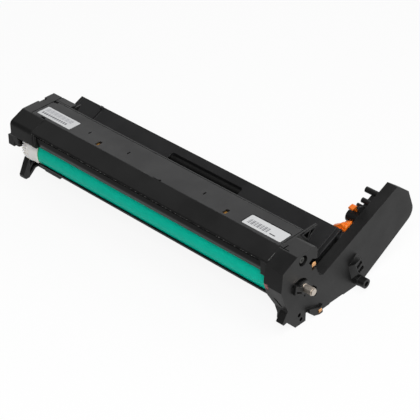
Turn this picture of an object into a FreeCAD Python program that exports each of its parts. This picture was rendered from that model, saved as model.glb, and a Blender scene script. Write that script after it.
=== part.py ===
import FreeCAD, Part
import math
import os

os.makedirs("parts", exist_ok=True)

# Printer drum unit, in millimetres.
# X runs along the drum's axis. X = 0 is the drive side's outer face and -X is towards the left end.
# +Y is the rear, +Z is up, and the drum's axis lies at Y = 0, Z = 0.

# Drum
drum_diameter = 30.0
drum_length = 238.0
tube_wall = 0.8
plug_depth = 10.0
plug_gap = 0.05
rim_height = 0.5
right_rim = 1.5
left_rim = 12.0
shaft_diameter = 6.0
shaft_reach = 9.0
shaft_flat = 0.6
shaft_flat_angle = -20.0
bush_collar = 0.6
hub_radius = 6.0

# Unit round the drum
right_room = 18.0
left_room = 23.5
height_above_drum = 14.0
depth_below_drum = 16.0
nose_room = 8.5
rear_room = 4.0
floor_room = 2.0
chamber_depth = 32.7
deck_angle = 23.5
deck_drop = 0.5

# Walls
frame_wall = 2.0
floor_wall = 1.6
cover_wall = 2.0
cap_wall = 2.2
skirt_wall = 2.0
fin_wall = 1.4
shield_wall = 1.4
guard_wall = 0.8

# Fits
running_gap = 0.05
press_gap = 0.02
seat_gap = 0.3
cover_gap = 0.15

# Drive side
hood_depth = 16.0
gear_module = 1.25
gear_width = 4.6
drum_gear_teeth = 18
idler_1_teeth = 16
idler_2_teeth = 22
idler_3_teeth = 24
output_teeth = 20
idler_1_angle = -43.0
idler_2_angle = 8.0
idler_3_angle = 15.0
output_angle = 22.0
gear_post_radius = 2.0
gear_backlash = 0.12
fine_module = 1.0
pressure_angle = 20.0
inner_cover_wall = 1.4

# Waste auger and its drive
auger_module = 0.8
auger_teeth = 16
auger_angle = 48.0
flange_gear_width = 5.0
auger_core = 1.4
auger_radius = 3.8
auger_pitch = 30.0
auger_steps = 8
auger_blade = 1.2
trough_radius = 4.2
trough_wall = 1.2

# Charging roller
roller_radius = 5.0
roller_core = 2.5
roller_angle = 110.0
roller_inset = 4.0
bearing_width = 5.0
bearing_half = 3.5
spring_wire = 0.5
spring_radius = 1.9
spring_turns = 3
spring_length = 2.6
spring_steps = 8

# Cleaning blade
blade_contact_angle = 57.0
blade_slope = 63.0
blade_thickness = 1.6
blade_length = 9.0
bracket_wall = 1.2

# Lock lever, placed from the chamber's back and the line of the deck
lever_core = 3.4
sleeve_radius = 4.7
lever_width = 8.2
tab_width = 4.0
tab_wall = 1.4
lever_behind_chamber = 15.8
lever_below_deck = 5.0

# Posts behind the lever: distance from it, depth under the deck's line, radius and height
posts = [(20.0, 2.6, 2.2, 11.0), (11.5, 2.2, 2.0, 7.5), (6.7, 1.8, 1.3, 8.0)]
post_pad_start = 8.0
post_pad_end = 21.8
post_pad_height = 4.6
post_pad_below = 2.6
post_pad_depth = 8.0

# Screws
screw_hole = 1.2
screw_head = 2.3
screw_head_height = 1.6
screw_length = 5.5
screw_recess = 1.4
screw_boss = 5.2
screw_seat = 2.7
screw_seat_radius = 2.9
counterbore = 4.1
counterbore_depth = 5.0
screw_setback = 2.0
screw_below_top = 6.1

# Locating peg, bosses and contacts on the end plate
peg_radius = 3.8
peg_bore = 2.0
peg_length = 10.0
peg_root = 4.6
peg_ahead_of_heel = 6.7
peg_above_base = 7.5
contact_boss_height = 2.4
contact_notch_low = 9.5
contact_notch_high = 18.0
contact_notch_width = 5.4
slotted_boss_height = 4.4
contact_wall = 0.4

# Grip bar under the deck's slot
grip_radius = 3.5
grip_ahead_of_back = 5.7
grip_clearance = 0.07
grip_slot_width = 11.4
grip_slot_length = 72.0
grip_slot_share = 0.495

# Covers
cover_front = 6.0
cover_end_gap = 0.1
slant_wall = 1.8
slot_shares = (0.7655, 0.224)
slot_front = -3.7
slot_rear = 1.3
slot_half = 1.0
hole_shares = ((0.8315, 4.3), (0.6576, 4.7), (0.334, 4.6))
hole_radius = 0.8
label_recess = 0.4
clip_height = 0.5

# Ribs, floor and posts
rib_count = 6
floor_overlap = 3.5
post_half = 3.2
seal_depth = 3.5
bracket_foot = 3.5
bracket_top = 8.8

# Worked out from the sizes above
drum_r = drum_diameter / 2
shaft_r = shaft_diameter / 2
rim_r = drum_r + rim_height
drum_right = -right_room
drum_left = drum_right - drum_length
left_face = drum_left - left_room
top_z = drum_r + height_above_drum
under_top = top_z - cover_wall
base_z = -(drum_r + depth_below_drum)
nose_y = -(drum_r + nose_room)
bay_rear = drum_r + rear_room
bay_back = bay_rear + frame_wall
floor_top = -(drum_r + floor_room)
floor_bottom = floor_top - floor_wall
chamber_back = bay_back + chamber_depth
fin_right = -hood_depth
fin_left = fin_right - fin_wall
frame_left = drum_left - 10.0
gear_right = -(cap_wall + seat_gap)
gear_left = gear_right - gear_width
cover_right = gear_left - 0.5
cover_left = cover_right - inner_cover_wall
arm_depth = -cover_left
chamber_right = -arm_depth - 3.0
left_wall_inner = left_face + cap_wall
left_gear_reach = 2 + flange_gear_width
flange_teeth = round(drum_diameter / auger_module)
foot_z = base_z + 6.0
screw_place = (-screw_setback, top_z - screw_below_top)
cap_posts = [(bay_back + 9.0, floor_top + 5.0), (chamber_back - 7.7, floor_top + 9.0)]
roller_reach = drum_r + roller_radius + seat_gap
roller_y = roller_reach * math.cos(math.radians(roller_angle))
roller_z = roller_reach * math.sin(math.radians(roller_angle))


def deck_z(y):
    """Height of the sloping deck's upper face."""
    return -deck_drop + (y - bay_back + 1) * math.tan(math.radians(deck_angle))


def along(share):
    """X of a place at a share of the drum's length from its drive end."""
    return drum_right - share * drum_length


def vec(x, y, z):
    return FreeCAD.Vector(x, y, z)


def block(x0, x1, y0, y1, z0, z1):
    return Part.makeBox(x1 - x0, y1 - y0, z1 - z0, vec(x0, y0, z0))


def rod(x0, x1, y, z, radius):
    """Round bar along X."""
    return Part.makeCylinder(radius, x1 - x0, vec(x0, y, z), vec(1, 0, 0))


def tube(x0, x1, y, z, outer, inner):
    return rod(x0, x1, y, z, outer).cut(rod(x0, x1, y, z, inner))


def pin(x, y, z, radius, length, direction):
    """Round bar from a point along any direction."""
    return Part.makeCylinder(radius, length, vec(x, y, z), vec(*direction))


def towards(a, b):
    length = math.hypot(b[0] - a[0], b[1] - a[1])
    return (b[0] - a[0]) / length, (b[1] - a[1]) / length


def crossing(p, u, q, v):
    """Point where the line through p along u meets the line through q along v."""
    det = u[0] * v[1] - u[1] * v[0]
    t = ((q[0] - p[0]) * v[1] - (q[1] - p[1]) * v[0]) / det
    return p[0] + t * u[0], p[1] + t * u[1]


def turn_sign(corners):
    """1 where the closed outline runs anticlockwise, and -1 where it runs clockwise."""
    area = 0.0
    for a, b in zip(corners, corners[1:] + corners[:1]):
        area += a[0] * b[1] - b[0] * a[1]
    return math.copysign(1, area)


def inset(corners, wall):
    """The closed outline moved inwards by a wall, with its corner radii made smaller to match."""
    sign = turn_sign(corners)
    moved = []
    for i, corner in enumerate(corners):
        before = corners[i - 1]
        after = corners[(i + 1) % len(corners)]
        u = towards(before, corner)
        v = towards(corner, after)
        p = (corner[0] - sign * wall * u[1], corner[1] + sign * wall * u[0])
        q = (corner[0] - sign * wall * v[1], corner[1] + sign * wall * v[0])
        y, z = crossing(p, u, q, v)
        radius = corner[2] if len(corner) > 2 else 0
        bend = sign * (u[0] * v[1] - u[1] * v[0])
        moved.append((y, z, max(0, radius - math.copysign(wall, bend)) if radius else 0))
    return moved


def outline(corners, place):
    """Closed wire through the corners, each rounded by its own radius where it has one."""
    stops = []
    for i, corner in enumerate(corners):
        radius = corner[2] if len(corner) > 2 else 0
        before = corners[i - 1]
        after = corners[(i + 1) % len(corners)]
        u = towards(corner, before)
        v = towards(corner, after)
        half = math.acos(max(-1, min(1, u[0] * v[0] + u[1] * v[1]))) / 2
        if radius < 0.01 or half > math.radians(89.5):
            stops.append([(corner[0], corner[1])])
            continue
        room = 0.49 * min(math.dist(corner[:2], before[:2]), math.dist(corner[:2], after[:2]))
        back = min(radius / math.tan(half), room)
        radius = back * math.tan(half)
        reach = radius / math.sin(half) - radius
        mid = towards((0, 0), (u[0] + v[0], u[1] + v[1]))
        stops.append([
            (corner[0] + back * u[0], corner[1] + back * u[1]),
            (corner[0] + reach * mid[0], corner[1] + reach * mid[1]),
            (corner[0] + back * v[0], corner[1] + back * v[1]),
        ])
    edges = []
    for i, stop in enumerate(stops):
        start = stops[i - 1][-1]
        edges.append(Part.LineSegment(place(*start), place(*stop[0])).toShape())
        if len(stop) == 3:
            edges.append(Part.Arc(place(*stop[0]), place(*stop[1]), place(*stop[2])).toShape())
    return Part.Wire(edges)


def prism(corners, x0, x1):
    """Outline in the YZ plane, extruded along X."""
    wire = outline(corners, lambda y, z: vec(x0, y, z))
    return Part.Face(wire).extrude(vec(x1 - x0, 0, 0))


def side_prism(corners, y0, y1):
    """Outline in the XZ plane, extruded along Y."""
    wire = outline(corners, lambda x, z: vec(x, y0, z))
    return Part.Face(wire).extrude(vec(0, y1 - y0, 0))


def plan_prism(corners, z0, z1):
    """Outline in the XY plane, extruded along Z."""
    wire = outline(corners, lambda x, y: vec(x, y, z0))
    return Part.Face(wire).extrude(vec(0, 0, z1 - z0))


def tray(corners, face, rim, floor, wall):
    """Moulded tray: a floor at the face and a wall along the outline up to the rim."""
    body = prism(corners, min(face, rim), max(face, rim))
    step = math.copysign(floor, rim - face)
    reach = math.copysign(1, rim - face)
    inside = sorted((face + step, rim + reach))
    return body.cut(prism(inset(corners, wall), inside[0], inside[1]))


def strip(path, thickness, x0, x1):
    """Sheet of even thickness along an open path, with the thickness on the path's left side."""
    other = []
    for i, corner in enumerate(path):
        u = towards(path[max(i - 1, 0)], path[max(i, 1)])
        v = towards(path[min(i, len(path) - 2)], path[min(i + 1, len(path) - 1)])
        p = (corner[0] - thickness * u[1], corner[1] + thickness * u[0])
        q = (corner[0] - thickness * v[1], corner[1] + thickness * v[0])
        if abs(u[0] * v[1] - u[1] * v[0]) < 1e-6:
            y, z = p
        else:
            y, z = crossing(p, u, q, v)
        radius = corner[2] if len(corner) > 2 else 0
        bend = u[0] * v[1] - u[1] * v[0]
        other.append((y, z, max(0, radius - math.copysign(thickness, bend)) if radius else 0))
    return prism(list(path) + other[::-1], x0, x1)


def shifted(corners, place):
    """Outline moved to a place."""
    return [(corner[0] + place[0], corner[1] + place[1]) + tuple(corner[2:]) for corner in corners]


def many_sided(x0, x1, centre, radius, sides):
    """Bar along X with even flat sides."""
    corners = []
    for i in range(sides):
        angle = 2 * math.pi * i / sides
        corners.append((centre[0] + radius * math.cos(angle), centre[1] + radius * math.sin(angle)))
    return prism(corners, x0, x1)


def fused(shapes):
    body = shapes[0].multiFuse(shapes[1:])
    return body.removeSplitter()


def ringed(rings):
    """Solid whose skin joins rings of as many points each, with flat ends."""
    size = len(rings[0])
    points = [point for ring in rings for point in ring]
    facets = []
    for i in range(len(rings) - 1):
        for j in range(size):
            a = i * size + j
            b = i * size + (j + 1) % size
            facets.append((a, b, a + size))
            facets.append((b, b + size, a + size))
    last = len(points) - size
    for j in range(1, size - 1):
        facets.append((0, j + 1, j))
        facets.append((last, last + j, last + j + 1))
    shell = Part.Shape()
    shell.makeShapeFromMesh((points, facets), 0.01)
    body = Part.makeSolid(shell)
    return body if body.Volume > 0 else body.reversed()


def around(x, centre, radius, degrees):
    """Point at an angle round an axis along X."""
    angle = math.radians(degrees)
    return vec(x, centre[0] + radius * math.cos(angle), centre[1] + radius * math.sin(angle))


# Gears

def involute(angle):
    return math.tan(angle) - angle


def gear(teeth, module, x0, x1, centre, phase):
    """Spur gear without its bore, its first tooth along the phase. Fine teeth get straight flanks."""
    pitch_r = module * teeth / 2
    base_r = pitch_r * math.cos(math.radians(pressure_angle))
    root_r = pitch_r - 1.25 * module
    tip_r = pitch_r + 0.95 * module
    half_pitch = math.pi / (2 * teeth) - gear_backlash * module / (2 * pitch_r)
    stations = (root_r, tip_r) if module < fine_module else (root_r, pitch_r, tip_r)
    points = []
    for tooth in range(teeth):
        middle = math.radians(phase) + tooth * 2 * math.pi / teeth
        flank = []
        for radius in stations:
            swing = math.acos(base_r / max(radius, base_r))
            half = half_pitch + involute(math.radians(pressure_angle)) - involute(swing)
            flank.append((radius, half))
        for radius, half in flank:
            points.append((radius, middle - half))
        for radius, half in flank[::-1]:
            points.append((radius, middle + half))
    corners = [(centre[0] + r * math.cos(a), centre[1] + r * math.sin(a)) for r, a in points]
    return prism(corners, x0, x1)


def bored(wheel, x0, x1, centre, radius):
    return wheel.cut(rod(x0, x1, centre[0], centre[1], radius))


def linked(centre, teeth, phase, next_teeth, angle, module):
    """Centre and phase of a gear that meshes with the one before it."""
    reach = module * (teeth + next_teeth) / 2
    line = math.radians(angle)
    place = (centre[0] + reach * math.cos(line), centre[1] + reach * math.sin(line))
    next_phase = angle + 180 - (phase - angle) * teeth / next_teeth + 180 / next_teeth
    return place, next_phase


drum_phase = 0.0
idler_1, phase_1 = linked((0, 0), drum_gear_teeth, drum_phase, idler_1_teeth, idler_1_angle, gear_module)
idler_2, phase_2 = linked(idler_1, idler_1_teeth, phase_1, idler_2_teeth, idler_2_angle, gear_module)
idler_3, phase_3 = linked(idler_2, idler_2_teeth, phase_2, idler_3_teeth, idler_3_angle, gear_module)
output, phase_4 = linked(idler_3, idler_3_teeth, phase_3, output_teeth, output_angle, gear_module)
auger_axis, auger_phase = linked((0, 0), flange_teeth, drum_phase, auger_teeth, auger_angle, auger_module)

# Outlines

lever_y = chamber_back + lever_behind_chamber
lever_place = (lever_y, deck_z(lever_y) - lever_below_deck)
grip_y = chamber_back - grip_ahead_of_back
grip_drop = (frame_wall + grip_radius + grip_clearance) / math.cos(math.radians(deck_angle))
grip = (grip_y, deck_z(grip_y) - grip_drop)
cap_rear = drum_r - 2.1
arm_top = output[0] + 6.6
arm_far = output[0] + 20.6
arm_toe = output[0] + 29.7
heel_y = idler_3[0] - 3.1
knee_z = top_z - 6.9
peg = (heel_y - peg_ahead_of_heel, base_z + peg_above_base)
front_edge = (nose_y + 3.1, top_z - 6.8)

right_outline = [
    (nose_y + 1.1, knee_z),
    (-cover_front - 2.1, top_z),
    (cap_rear, top_z, 5),
    (cap_rear - 0.3, top_z - 20.3),
    (bay_rear - 2.9, 1.2),
    (bay_rear + 1.1, deck_z(bay_rear + 1.1)),
    (arm_top, deck_z(arm_top)),
    (arm_far, output[1] + 16.9, 3),
    (arm_toe, output[1] - 5.0, 9),
    (heel_y, base_z, 3),
    (-drum_r / 2, base_z),
    (-drum_r - 1.8, base_z + 9.7),
    (-drum_r - 1.3, base_z + 19.1),
    (nose_y, 6.8),
]

left_outline = [
    (bay_back + 4, top_z),
    (-cover_front - 1, top_z, 2),
    (nose_y + 3.2, top_z - 6, 4),
    (nose_y + 3.2, 11.5),
    (nose_y + 5, 9.5),
    (nose_y + 6, 1),
    (-10, -1),
    (-8, -8),
    (-5.5, floor_top - 1, 2),
    (-15.2, base_z + 3.8),
    (-14.8, base_z + 1.5),
    (-12.8, base_z),
    (-9.5, base_z),
    (-2.5, foot_z),
    (chamber_back - 17.7, foot_z),
    (chamber_back - 15.7, base_z),
    (chamber_back - 5.7, base_z),
    (chamber_back, base_z + 11),
    (chamber_back, deck_z(chamber_back)),
    (bay_back, deck_z(bay_back)),
    (bay_back, top_z - 9.4),
]


front_cover_top = (-cover_front - 0.2, top_z)
front_cover_knee = (front_edge[0] + 0.2, front_edge[1] + 1.1, 1)
shield_top = (front_edge[0] + 0.8, front_edge[1] - 0.4)
shield_knee = (shield_top[0] + 0.4, shield_top[1] - 6.2, 6)
shield_path = [shield_top, shield_knee, (shield_top[0] + 2.3, shield_top[1] - 10.2)]


# Drum

def opc_drum():
    return tube(drum_left, drum_right, 0, 0, drum_r, drum_r - tube_wall)


def drum_flange_right():
    plug = rod(drum_right - plug_depth, drum_right, 0, 0, drum_r - tube_wall - plug_gap)
    rim = rod(drum_right, drum_right + right_rim, 0, 0, rim_r)
    hub = rod(drum_right, gear_left, 0, 0, hub_radius)
    bore = rod(drum_right - plug_depth, gear_left, 0, 0, shaft_r + running_gap)
    return fused([plug, rim, hub]).cut(bore)


def drum_flange_left():
    rim_end = drum_left - left_rim
    plug = rod(drum_left, drum_left + plug_depth, 0, 0, drum_r - tube_wall - plug_gap)
    rim = rod(rim_end, drum_left, 0, 0, rim_r)
    end = rim_end - flange_gear_width
    teeth = gear(flange_teeth, auger_module, end, rim_end, (0, 0), drum_phase)
    bore = rod(end, drum_left + plug_depth, 0, 0, shaft_r + running_gap)
    return fused([plug, rim, teeth]).cut(bore)


def drum_gear():
    wheel = gear(drum_gear_teeth, gear_module, gear_left, gear_right, (0, 0), drum_phase)
    return bored(wheel, gear_left, gear_right, (0, 0), shaft_r + running_gap)


def drum_shaft():
    """Steel shaft with a clip groove, a flat and a stepped tip at the drive end."""
    bar = rod(left_wall_inner + 0.2, shaft_reach - 1, 0, 0, shaft_r)
    tip = rod(shaft_reach - 1, shaft_reach, 0, 0, shaft_r - 0.5)
    body = fused([bar, tip])
    body = body.cut(tube(bush_collar, bush_collar + 0.6, 0, 0, shaft_r, shaft_r - 0.5))
    flat = block(bush_collar + 0.6, shaft_reach, -shaft_r, shaft_r, shaft_r - shaft_flat, shaft_r)
    flat.rotate(vec(0, 0, 0), vec(1, 0, 0), shaft_flat_angle)
    return body.cut(flat)


def shaft_bush_right():
    collar = rod(0, bush_collar, 0, 0, shaft_r + 1.8)
    sleeve = rod(-cap_wall, bush_collar, 0, 0, shaft_r + 1.4)
    return fused([collar, sleeve]).cut(rod(-cap_wall, bush_collar, 0, 0, shaft_r + running_gap))


def shaft_bush_left():
    return tube(left_wall_inner, left_wall_inner + 3.3, 0, 0, shaft_r + 2, shaft_r + running_gap)


# Gear train

def idler(centre, teeth, phase):
    wheel = gear(teeth, gear_module, gear_left, gear_right, centre, phase)
    return bored(wheel, gear_left, gear_right, centre, gear_post_radius + running_gap)


def output_coupling():
    """Last gear of the train, with a dog coupling that stands through the inner cover."""
    y, z = output
    wheel = gear(output_teeth, gear_module, gear_left, gear_right, output, phase_4)
    neck = rod(cover_left - 7, gear_left, y, z, hub_radius)
    body = bored(fused([wheel, neck]), cover_left - 2, gear_right, output, gear_post_radius + running_gap)
    body = bored(body, cover_left - 7, cover_left - 2, output, hub_radius - 2)
    for side in (0, 90):
        slot = block(cover_left - 7, cover_left - 4, y - 7, y + 7, z - 1.1, z + 1.1)
        slot.rotate(vec(0, y, z), vec(1, 0, 0), side + 45)
        body = body.cut(slot)
    return body


# Right end cap: end plate, hood and gear arm in one moulding

def right_end_cap():
    body = tray(right_outline, 0, -arm_depth, cap_wall, skirt_wall)
    hood = prism(right_outline, -hood_depth, -arm_depth)
    hood = hood.cut(prism(inset(right_outline, skirt_wall), -hood_depth, -arm_depth))
    window = side_prism([
        (-hood_depth, top_z + 1),
        (-arm_depth, top_z + 1),
        (-arm_depth, -17),
        (-hood_depth, -4),
    ], nose_y - 1, cap_rear + 1)
    body = fused([body, hood.common(window)])
    adds = []
    for centre in (idler_1, idler_2, idler_3, output):
        adds.append(rod(cover_right, -cap_wall / 2, centre[0], centre[1], gear_post_radius))
    adds.append(rod(-hood_depth, 0, screw_place[0], screw_place[1], screw_boss))
    adds.append(contact_boss())
    adds.append(slotted_boss())
    adds.append(locating_peg())
    adds.append(guide_block())
    adds.append(front_lug())
    body = fused([body] + adds)
    for cut in bearing_and_screw_cuts() + end_plate_cuts() + hood_cuts():
        body = body.cut(cut)
    return body


def bearing_and_screw_cuts():
    """Round openings in the end plate: the shaft's bush, the counterbore, the peg's bore."""
    cuts = [rod(-cap_wall, 0, 0, 0, shaft_r + 1.4 + running_gap)]
    cuts.append(rod(0, contact_boss_height, 0, 0, shaft_r + 1.8 + running_gap))
    cuts.append(rod(-screw_seat, 0, screw_place[0], screw_place[1], counterbore))
    y, z = screw_place
    cuts.append(tube(-counterbore_depth, -screw_seat, y, z, counterbore, screw_seat_radius))
    cuts.append(rod(0, peg_length, peg[0], peg[1], peg_bore))
    cuts.append(rod(-hood_depth, 0, screw_place[0], screw_place[1], screw_hole))
    return cuts


def hood_cuts():
    """Seal's seat, slot in the front wall and the two grooves on the hood's top corner."""
    cuts = [block(-hood_depth, -hood_depth + seal_depth + 0.2, nose_y - 1, nose_y + 5.5, 3, 8)]
    slot = [(-10.7, -3.5), (-7.9, -4.1), (-3.9, -9.9), (-6.1, -9.6)]
    cuts.append(side_prism(slot, nose_y - 1, -drum_r + 2))
    cuts.append(block(-hood_depth, -8.7, -cover_front - 1.1, -cover_front - 0.3, top_z - 1.4, top_z))
    cuts.append(block(-13.9, -12.9, -cover_front - 0.3, -2, top_z - 1, top_z))
    return cuts


def end_plate_cuts():
    """Openings and shallow pockets in the end plate and along the arm's foot."""
    cuts = [crescent(), upper_notch()]
    foot_cut = [(3.2, -1), (3.2, 6.8), (4.6, 6.8), (12.5, 0), (12.5, -1)]
    cuts.append(prism(shifted(foot_cut, (0, base_z)), -arm_depth, 0))
    pocket = [(8.2, -3.9), (10.5, -4.2), (13.6, -8.1), (11, -7.6), (8.6, -6)]
    cuts.append(prism(pocket, -1.5, 0))
    cuts.append(block(-1.5, 0, 0.6, 1.8, -8.8, -7.2))
    shade = [(12.5, 7.2), (17.1, 8.1), (21.5, 4.4), (19.9, 3)]
    cuts.append(prism(shifted(shade, (0, base_z)), -1.6, 0))
    cuts.append(block(-arm_depth, 0, 29, 44, base_z, base_z + 0.7))
    for y, z in ((-3.7, base_z + 9), (-1.8, base_z + 4.2)):
        window = [(-1.7, -0.7), (-0.2, -1.6), (1.7, 0.7), (0.2, 1.6)]
        cuts.append(prism(shifted(window, (y, z)), -cap_wall, 0))
    return cuts


def locating_peg():
    """Hollow peg with a slightly thicker root."""
    y, z = peg
    root = rod(-cap_wall / 2, peg_root, y, z, peg_radius + 0.3)
    return fused([root, rod(-cap_wall / 2, peg_length, y, z, peg_radius)])


def upper_notch():
    """Notch in the end plate's rear edge, through the hood, in which the upper contact sits."""
    y0 = cap_rear - contact_notch_width
    low = contact_notch_low
    high = contact_notch_high
    corners = [(y0, low), (cap_rear + 2, low), (cap_rear + 2, high), (y0 + 2, high), (y0, high - 3)]
    return prism(corners, -hood_depth, 0)


def crescent():
    """Crescent opening above the shaft."""
    ring = rod(-cap_wall, 0, -5.7, -1.2, 10.6)
    keep = prism([(-14, 6.5), (5, 1.2), (9, 12), (-14, 14)], -cap_wall, 0)
    return ring.common(keep).cut(rod(-cap_wall, 0, 0, 0, shaft_r + 2.4))


def guide_block():
    body = prism([(-11.3, 7.7), (-3.5, 3.4), (-4, -4.1), (-11.9, 0.3)], -cap_wall / 2, 2.5)
    slot = prism([(-10.4, 2.6), (-5, -0.3), (-5.2, -1.5), (-10.6, 1.4)], 0.5, 3)
    return body.cut(slot)


def front_lug():
    """Hooked lug below the nose."""
    corners = [(0, 6), (-2.5, 4.5), (-6.2, -2), (-5, -3.5), (-0.5, -2.8)]
    return prism(shifted(corners, (-drum_r, base_z + 12.5)), -6, 0)


def contact_boss():
    corners = [(4.5, 10), (4.5, 6.6), (9.6, 1.9), (15.2, 0), (18.8, 0), (18.8, 1.5), (17.5, 4.9), (9, 8.5)]
    return prism(shifted(corners, (0, base_z)), -cap_wall / 2, contact_boss_height)


def slotted_boss():
    """Tapered boss above the peg, with two slots in its end."""
    foot = shifted([(-8.9, 14.9), (-4.6, 1.7), (0.5, 1), (5.5, 10.5), (-0.4, 21.7)], peg)
    head = shifted([(-7.5, 17.9), (-3.5, 7.2), (-0.3, 5.2), (4, 10.9), (-0.2, 19.9)], peg)
    lower = outline(foot, lambda y, z: vec(0, y, z))
    upper = outline(head, lambda y, z: vec(slotted_boss_height, y, z))
    body = Part.makeLoft([lower, upper], True, True)
    upper_slot = [(-0.9, 18.3), (-5.4, 15.1), (-3.9, 11.8), (1, 15.2)]
    lower_slot = [(1.4, 12.8), (-3.5, 10.2), (-1.7, 7.2), (3.4, 9.8)]
    for slot in (upper_slot, lower_slot):
        body = body.cut(prism(shifted(slot, peg), slotted_boss_height - 1.8, slotted_boss_height))
    return body


# Inner cover of the gear case, with the posts and the lever's sleeve

def arm_inner_cover():
    body = prism(inset(right_outline, skirt_wall + cover_gap), cover_left, cover_right)
    adds = [lever_sleeve()]
    for behind, below, radius, height in posts:
        y = lever_y + behind
        adds.append(rod(cover_left - height, cover_left, y, deck_z(y) - below, radius))
    adds.append(post_pad())
    body = fused([body] + adds)
    body = body.cut(rod(cover_left, cover_right, 0, 0, hub_radius + 0.5))
    body = body.cut(rod(cover_left, cover_right, output[0], output[1], hub_radius + 0.5))
    return body.cut(rod(cover_left, cover_right, screw_place[0], screw_place[1], screw_boss + seat_gap))


def post_pad():
    """Raised pad under the line of the deck, from which the posts stand out."""
    y0 = lever_y + post_pad_start
    y1 = lever_y + post_pad_end
    corners = [(y0, deck_z(y0) - post_pad_below), (y0, deck_z(y0) - post_pad_depth)]
    corners += [(y1, deck_z(y1) - post_pad_depth), (y1, deck_z(y1) - post_pad_below)]
    return prism(corners, cover_left - post_pad_height, cover_left + inner_cover_wall / 2)


def lever_sleeve():
    """Open sleeve round the lever's core, closed by a disc at its free end."""
    y, z = lever_place
    end = cover_left - lever_width - seat_gap
    sleeve = tube(end, cover_left, y, z, sleeve_radius, lever_core + running_gap)
    opening = [(0, 0), (-6, -6), (9, -9), (9, 9), (1.5, 9)]
    window = prism(shifted(opening, lever_place), end, cover_left)
    slot = block(end + 2, cover_left - 2, y - sleeve_radius, y - 2, z - 1.2, z + 0.4)
    disc = rod(end - 1, end, y, z, sleeve_radius)
    return sleeve.cut(window).cut(slot).fuse(disc)


def lock_lever():
    """Lever that turns in the sleeve: round core, forward latch plate and upright thumb tab."""
    y, z = lever_place
    x0 = cover_left - lever_width
    x1 = cover_left - seat_gap
    core = rod(x0, x1, y, z, lever_core)
    latch = [(-14.6, -2.6), (6.5, -9), (5.8, -11.4), (-13, -5.7), (-14.3, -4.4)]
    plate = prism(shifted(latch, lever_place), x0, x1 - 1.2)
    web = block(x0, x1 - 1.2, y - 1.2, y + 1.2, z - 8, z - 2)
    tab = strip([(y - 3.2, z + 7.2), (y + 1.2, z + 8, 0.8), (y + 1.4, z + 1)], tab_wall, x0, x0 + tab_width)
    return fused([core, plate, web, tab])


# Long main frame

def arch(x0, x1, crest):
    """Upright wall over the drum's end, open round the flange rim."""
    corners = crest + [(bay_back, 0), (drum_r - 1, 0), (nose_y + 6.7, 10), (nose_y + 6.7, top_z - 7.4)]
    wall = prism(corners, x0, x1).cut(rod(x0, x1, 0, 0, rim_r + 0.7))
    return wall.cut(rod(x0, x1, auger_axis[0], auger_axis[1], auger_core + running_gap))


def trough():
    """Lower part of the round trough in which the waste auger turns."""
    y, z = auger_axis
    x0 = frame_left + frame_wall
    ring = tube(x0, fin_left, y, z, trough_radius + trough_wall, trough_radius)
    sector = prism([(y, z), (y - 6, z - 7.2), (y, z - 9), (y + 9, z - 9), (y + 9, z)], x0, fin_left)
    return ring.common(sector)


def chamber():
    """Waste toner chamber: an open box that the deck closes."""
    rear = chamber_back
    under = frame_wall / math.cos(math.radians(deck_angle))
    outer = [
        (bay_rear, floor_bottom - 3.4, 1),
        (rear - 3.5, floor_bottom - 3.4, 1),
        (rear, floor_bottom, 1),
        (rear, deck_z(rear) - under),
        (bay_rear, deck_z(bay_rear) - under),
    ]
    body = prism(outer, frame_left, chamber_right)
    hollow = inset(outer, frame_wall)
    hollow[3] = (hollow[3][0], hollow[3][1] + 9)
    hollow[4] = (hollow[4][0], hollow[4][1] + 9)
    return body.cut(prism(hollow, frame_left + frame_wall, chamber_right - frame_wall))


def main_frame():
    fin_crest = [(-cover_front, top_z - 2.4), (-cover_front, top_z)]
    fin_crest += [(bay_back + 9.4, top_z), (bay_back, top_z - 9.4)]
    left_crest = [(-cover_front, top_z - 2.4), (bay_back, under_top)]
    adds = [
        arch(fin_left, fin_right, fin_crest),
        arch(frame_left, frame_left + frame_wall, left_crest),
        block(frame_left, fin_right, bay_rear, bay_back, floor_bottom, under_top),
        block(frame_left, chamber_right, -floor_overlap, bay_rear, floor_bottom, floor_top),
        trough(),
        chamber(),
        block(frame_left + 6, frame_left + 23, -floor_overlap - 1.5, 5, floor_bottom - 2, floor_bottom),
    ]
    gusset_x = frame_left + 11
    gusset = [(bay_back, top_z - 9.4), (bay_back + 9, top_z - 2.4), (bay_back, top_z - 2.4)]
    adds.append(prism(gusset, gusset_x, gusset_x + fin_wall))
    step = (chamber_right - frame_left) / (rib_count + 1)
    for i in range(rib_count):
        x = frame_left + step * (i + 1)
        rib = (x - 0.6, x + 0.6, bay_back, chamber_back - 4)
        adds.append(block(*rib, floor_bottom - 5, floor_bottom - 3.4))
    body = fused(adds)
    return body.cut(rod(frame_left, chamber_right, grip[0], grip[1], grip_radius + running_gap))


def grip_bar():
    return rod(frame_left, chamber_right, grip[0], grip[1], grip_radius)


# Covers

def top_cover():
    """Flat cover with two slots over the brass strip, small holes, edge notches and a label recess."""
    x0 = frame_left - 4
    x1 = fin_left - cover_end_gap
    body = block(x0, x1, -cover_front, bay_back + 4.2, under_top, top_z)
    cuts = [block(x0, x1, bay_rear, bay_rear + 0.7, top_z - 0.7, top_z)]
    for share, y in hole_shares:
        cuts.append(pin(along(share), y, under_top, hole_radius, cover_wall, (0, 0, 1)))
    for share in slot_shares:
        x = along(share)
        corners = [(x - slot_half, slot_front), (x + slot_half, slot_front)]
        corners += [(x + slot_half, slot_rear), (x - slot_half, slot_rear)]
        cuts.append(plan_prism([corner + (0.9,) for corner in corners], under_top, top_z))
    for x in (along(0.4916), frame_left + 8):
        cuts.append(block(x - 1.2, x + 1.2, -cover_front, -cover_front + 1.4, under_top, top_z))
    cuts.append(block(drum_right - 37.5, drum_right - 2, -2.7, 9.1, top_z - label_recess, top_z))
    for cut in cuts:
        body = body.cut(cut)
    return body


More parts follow.
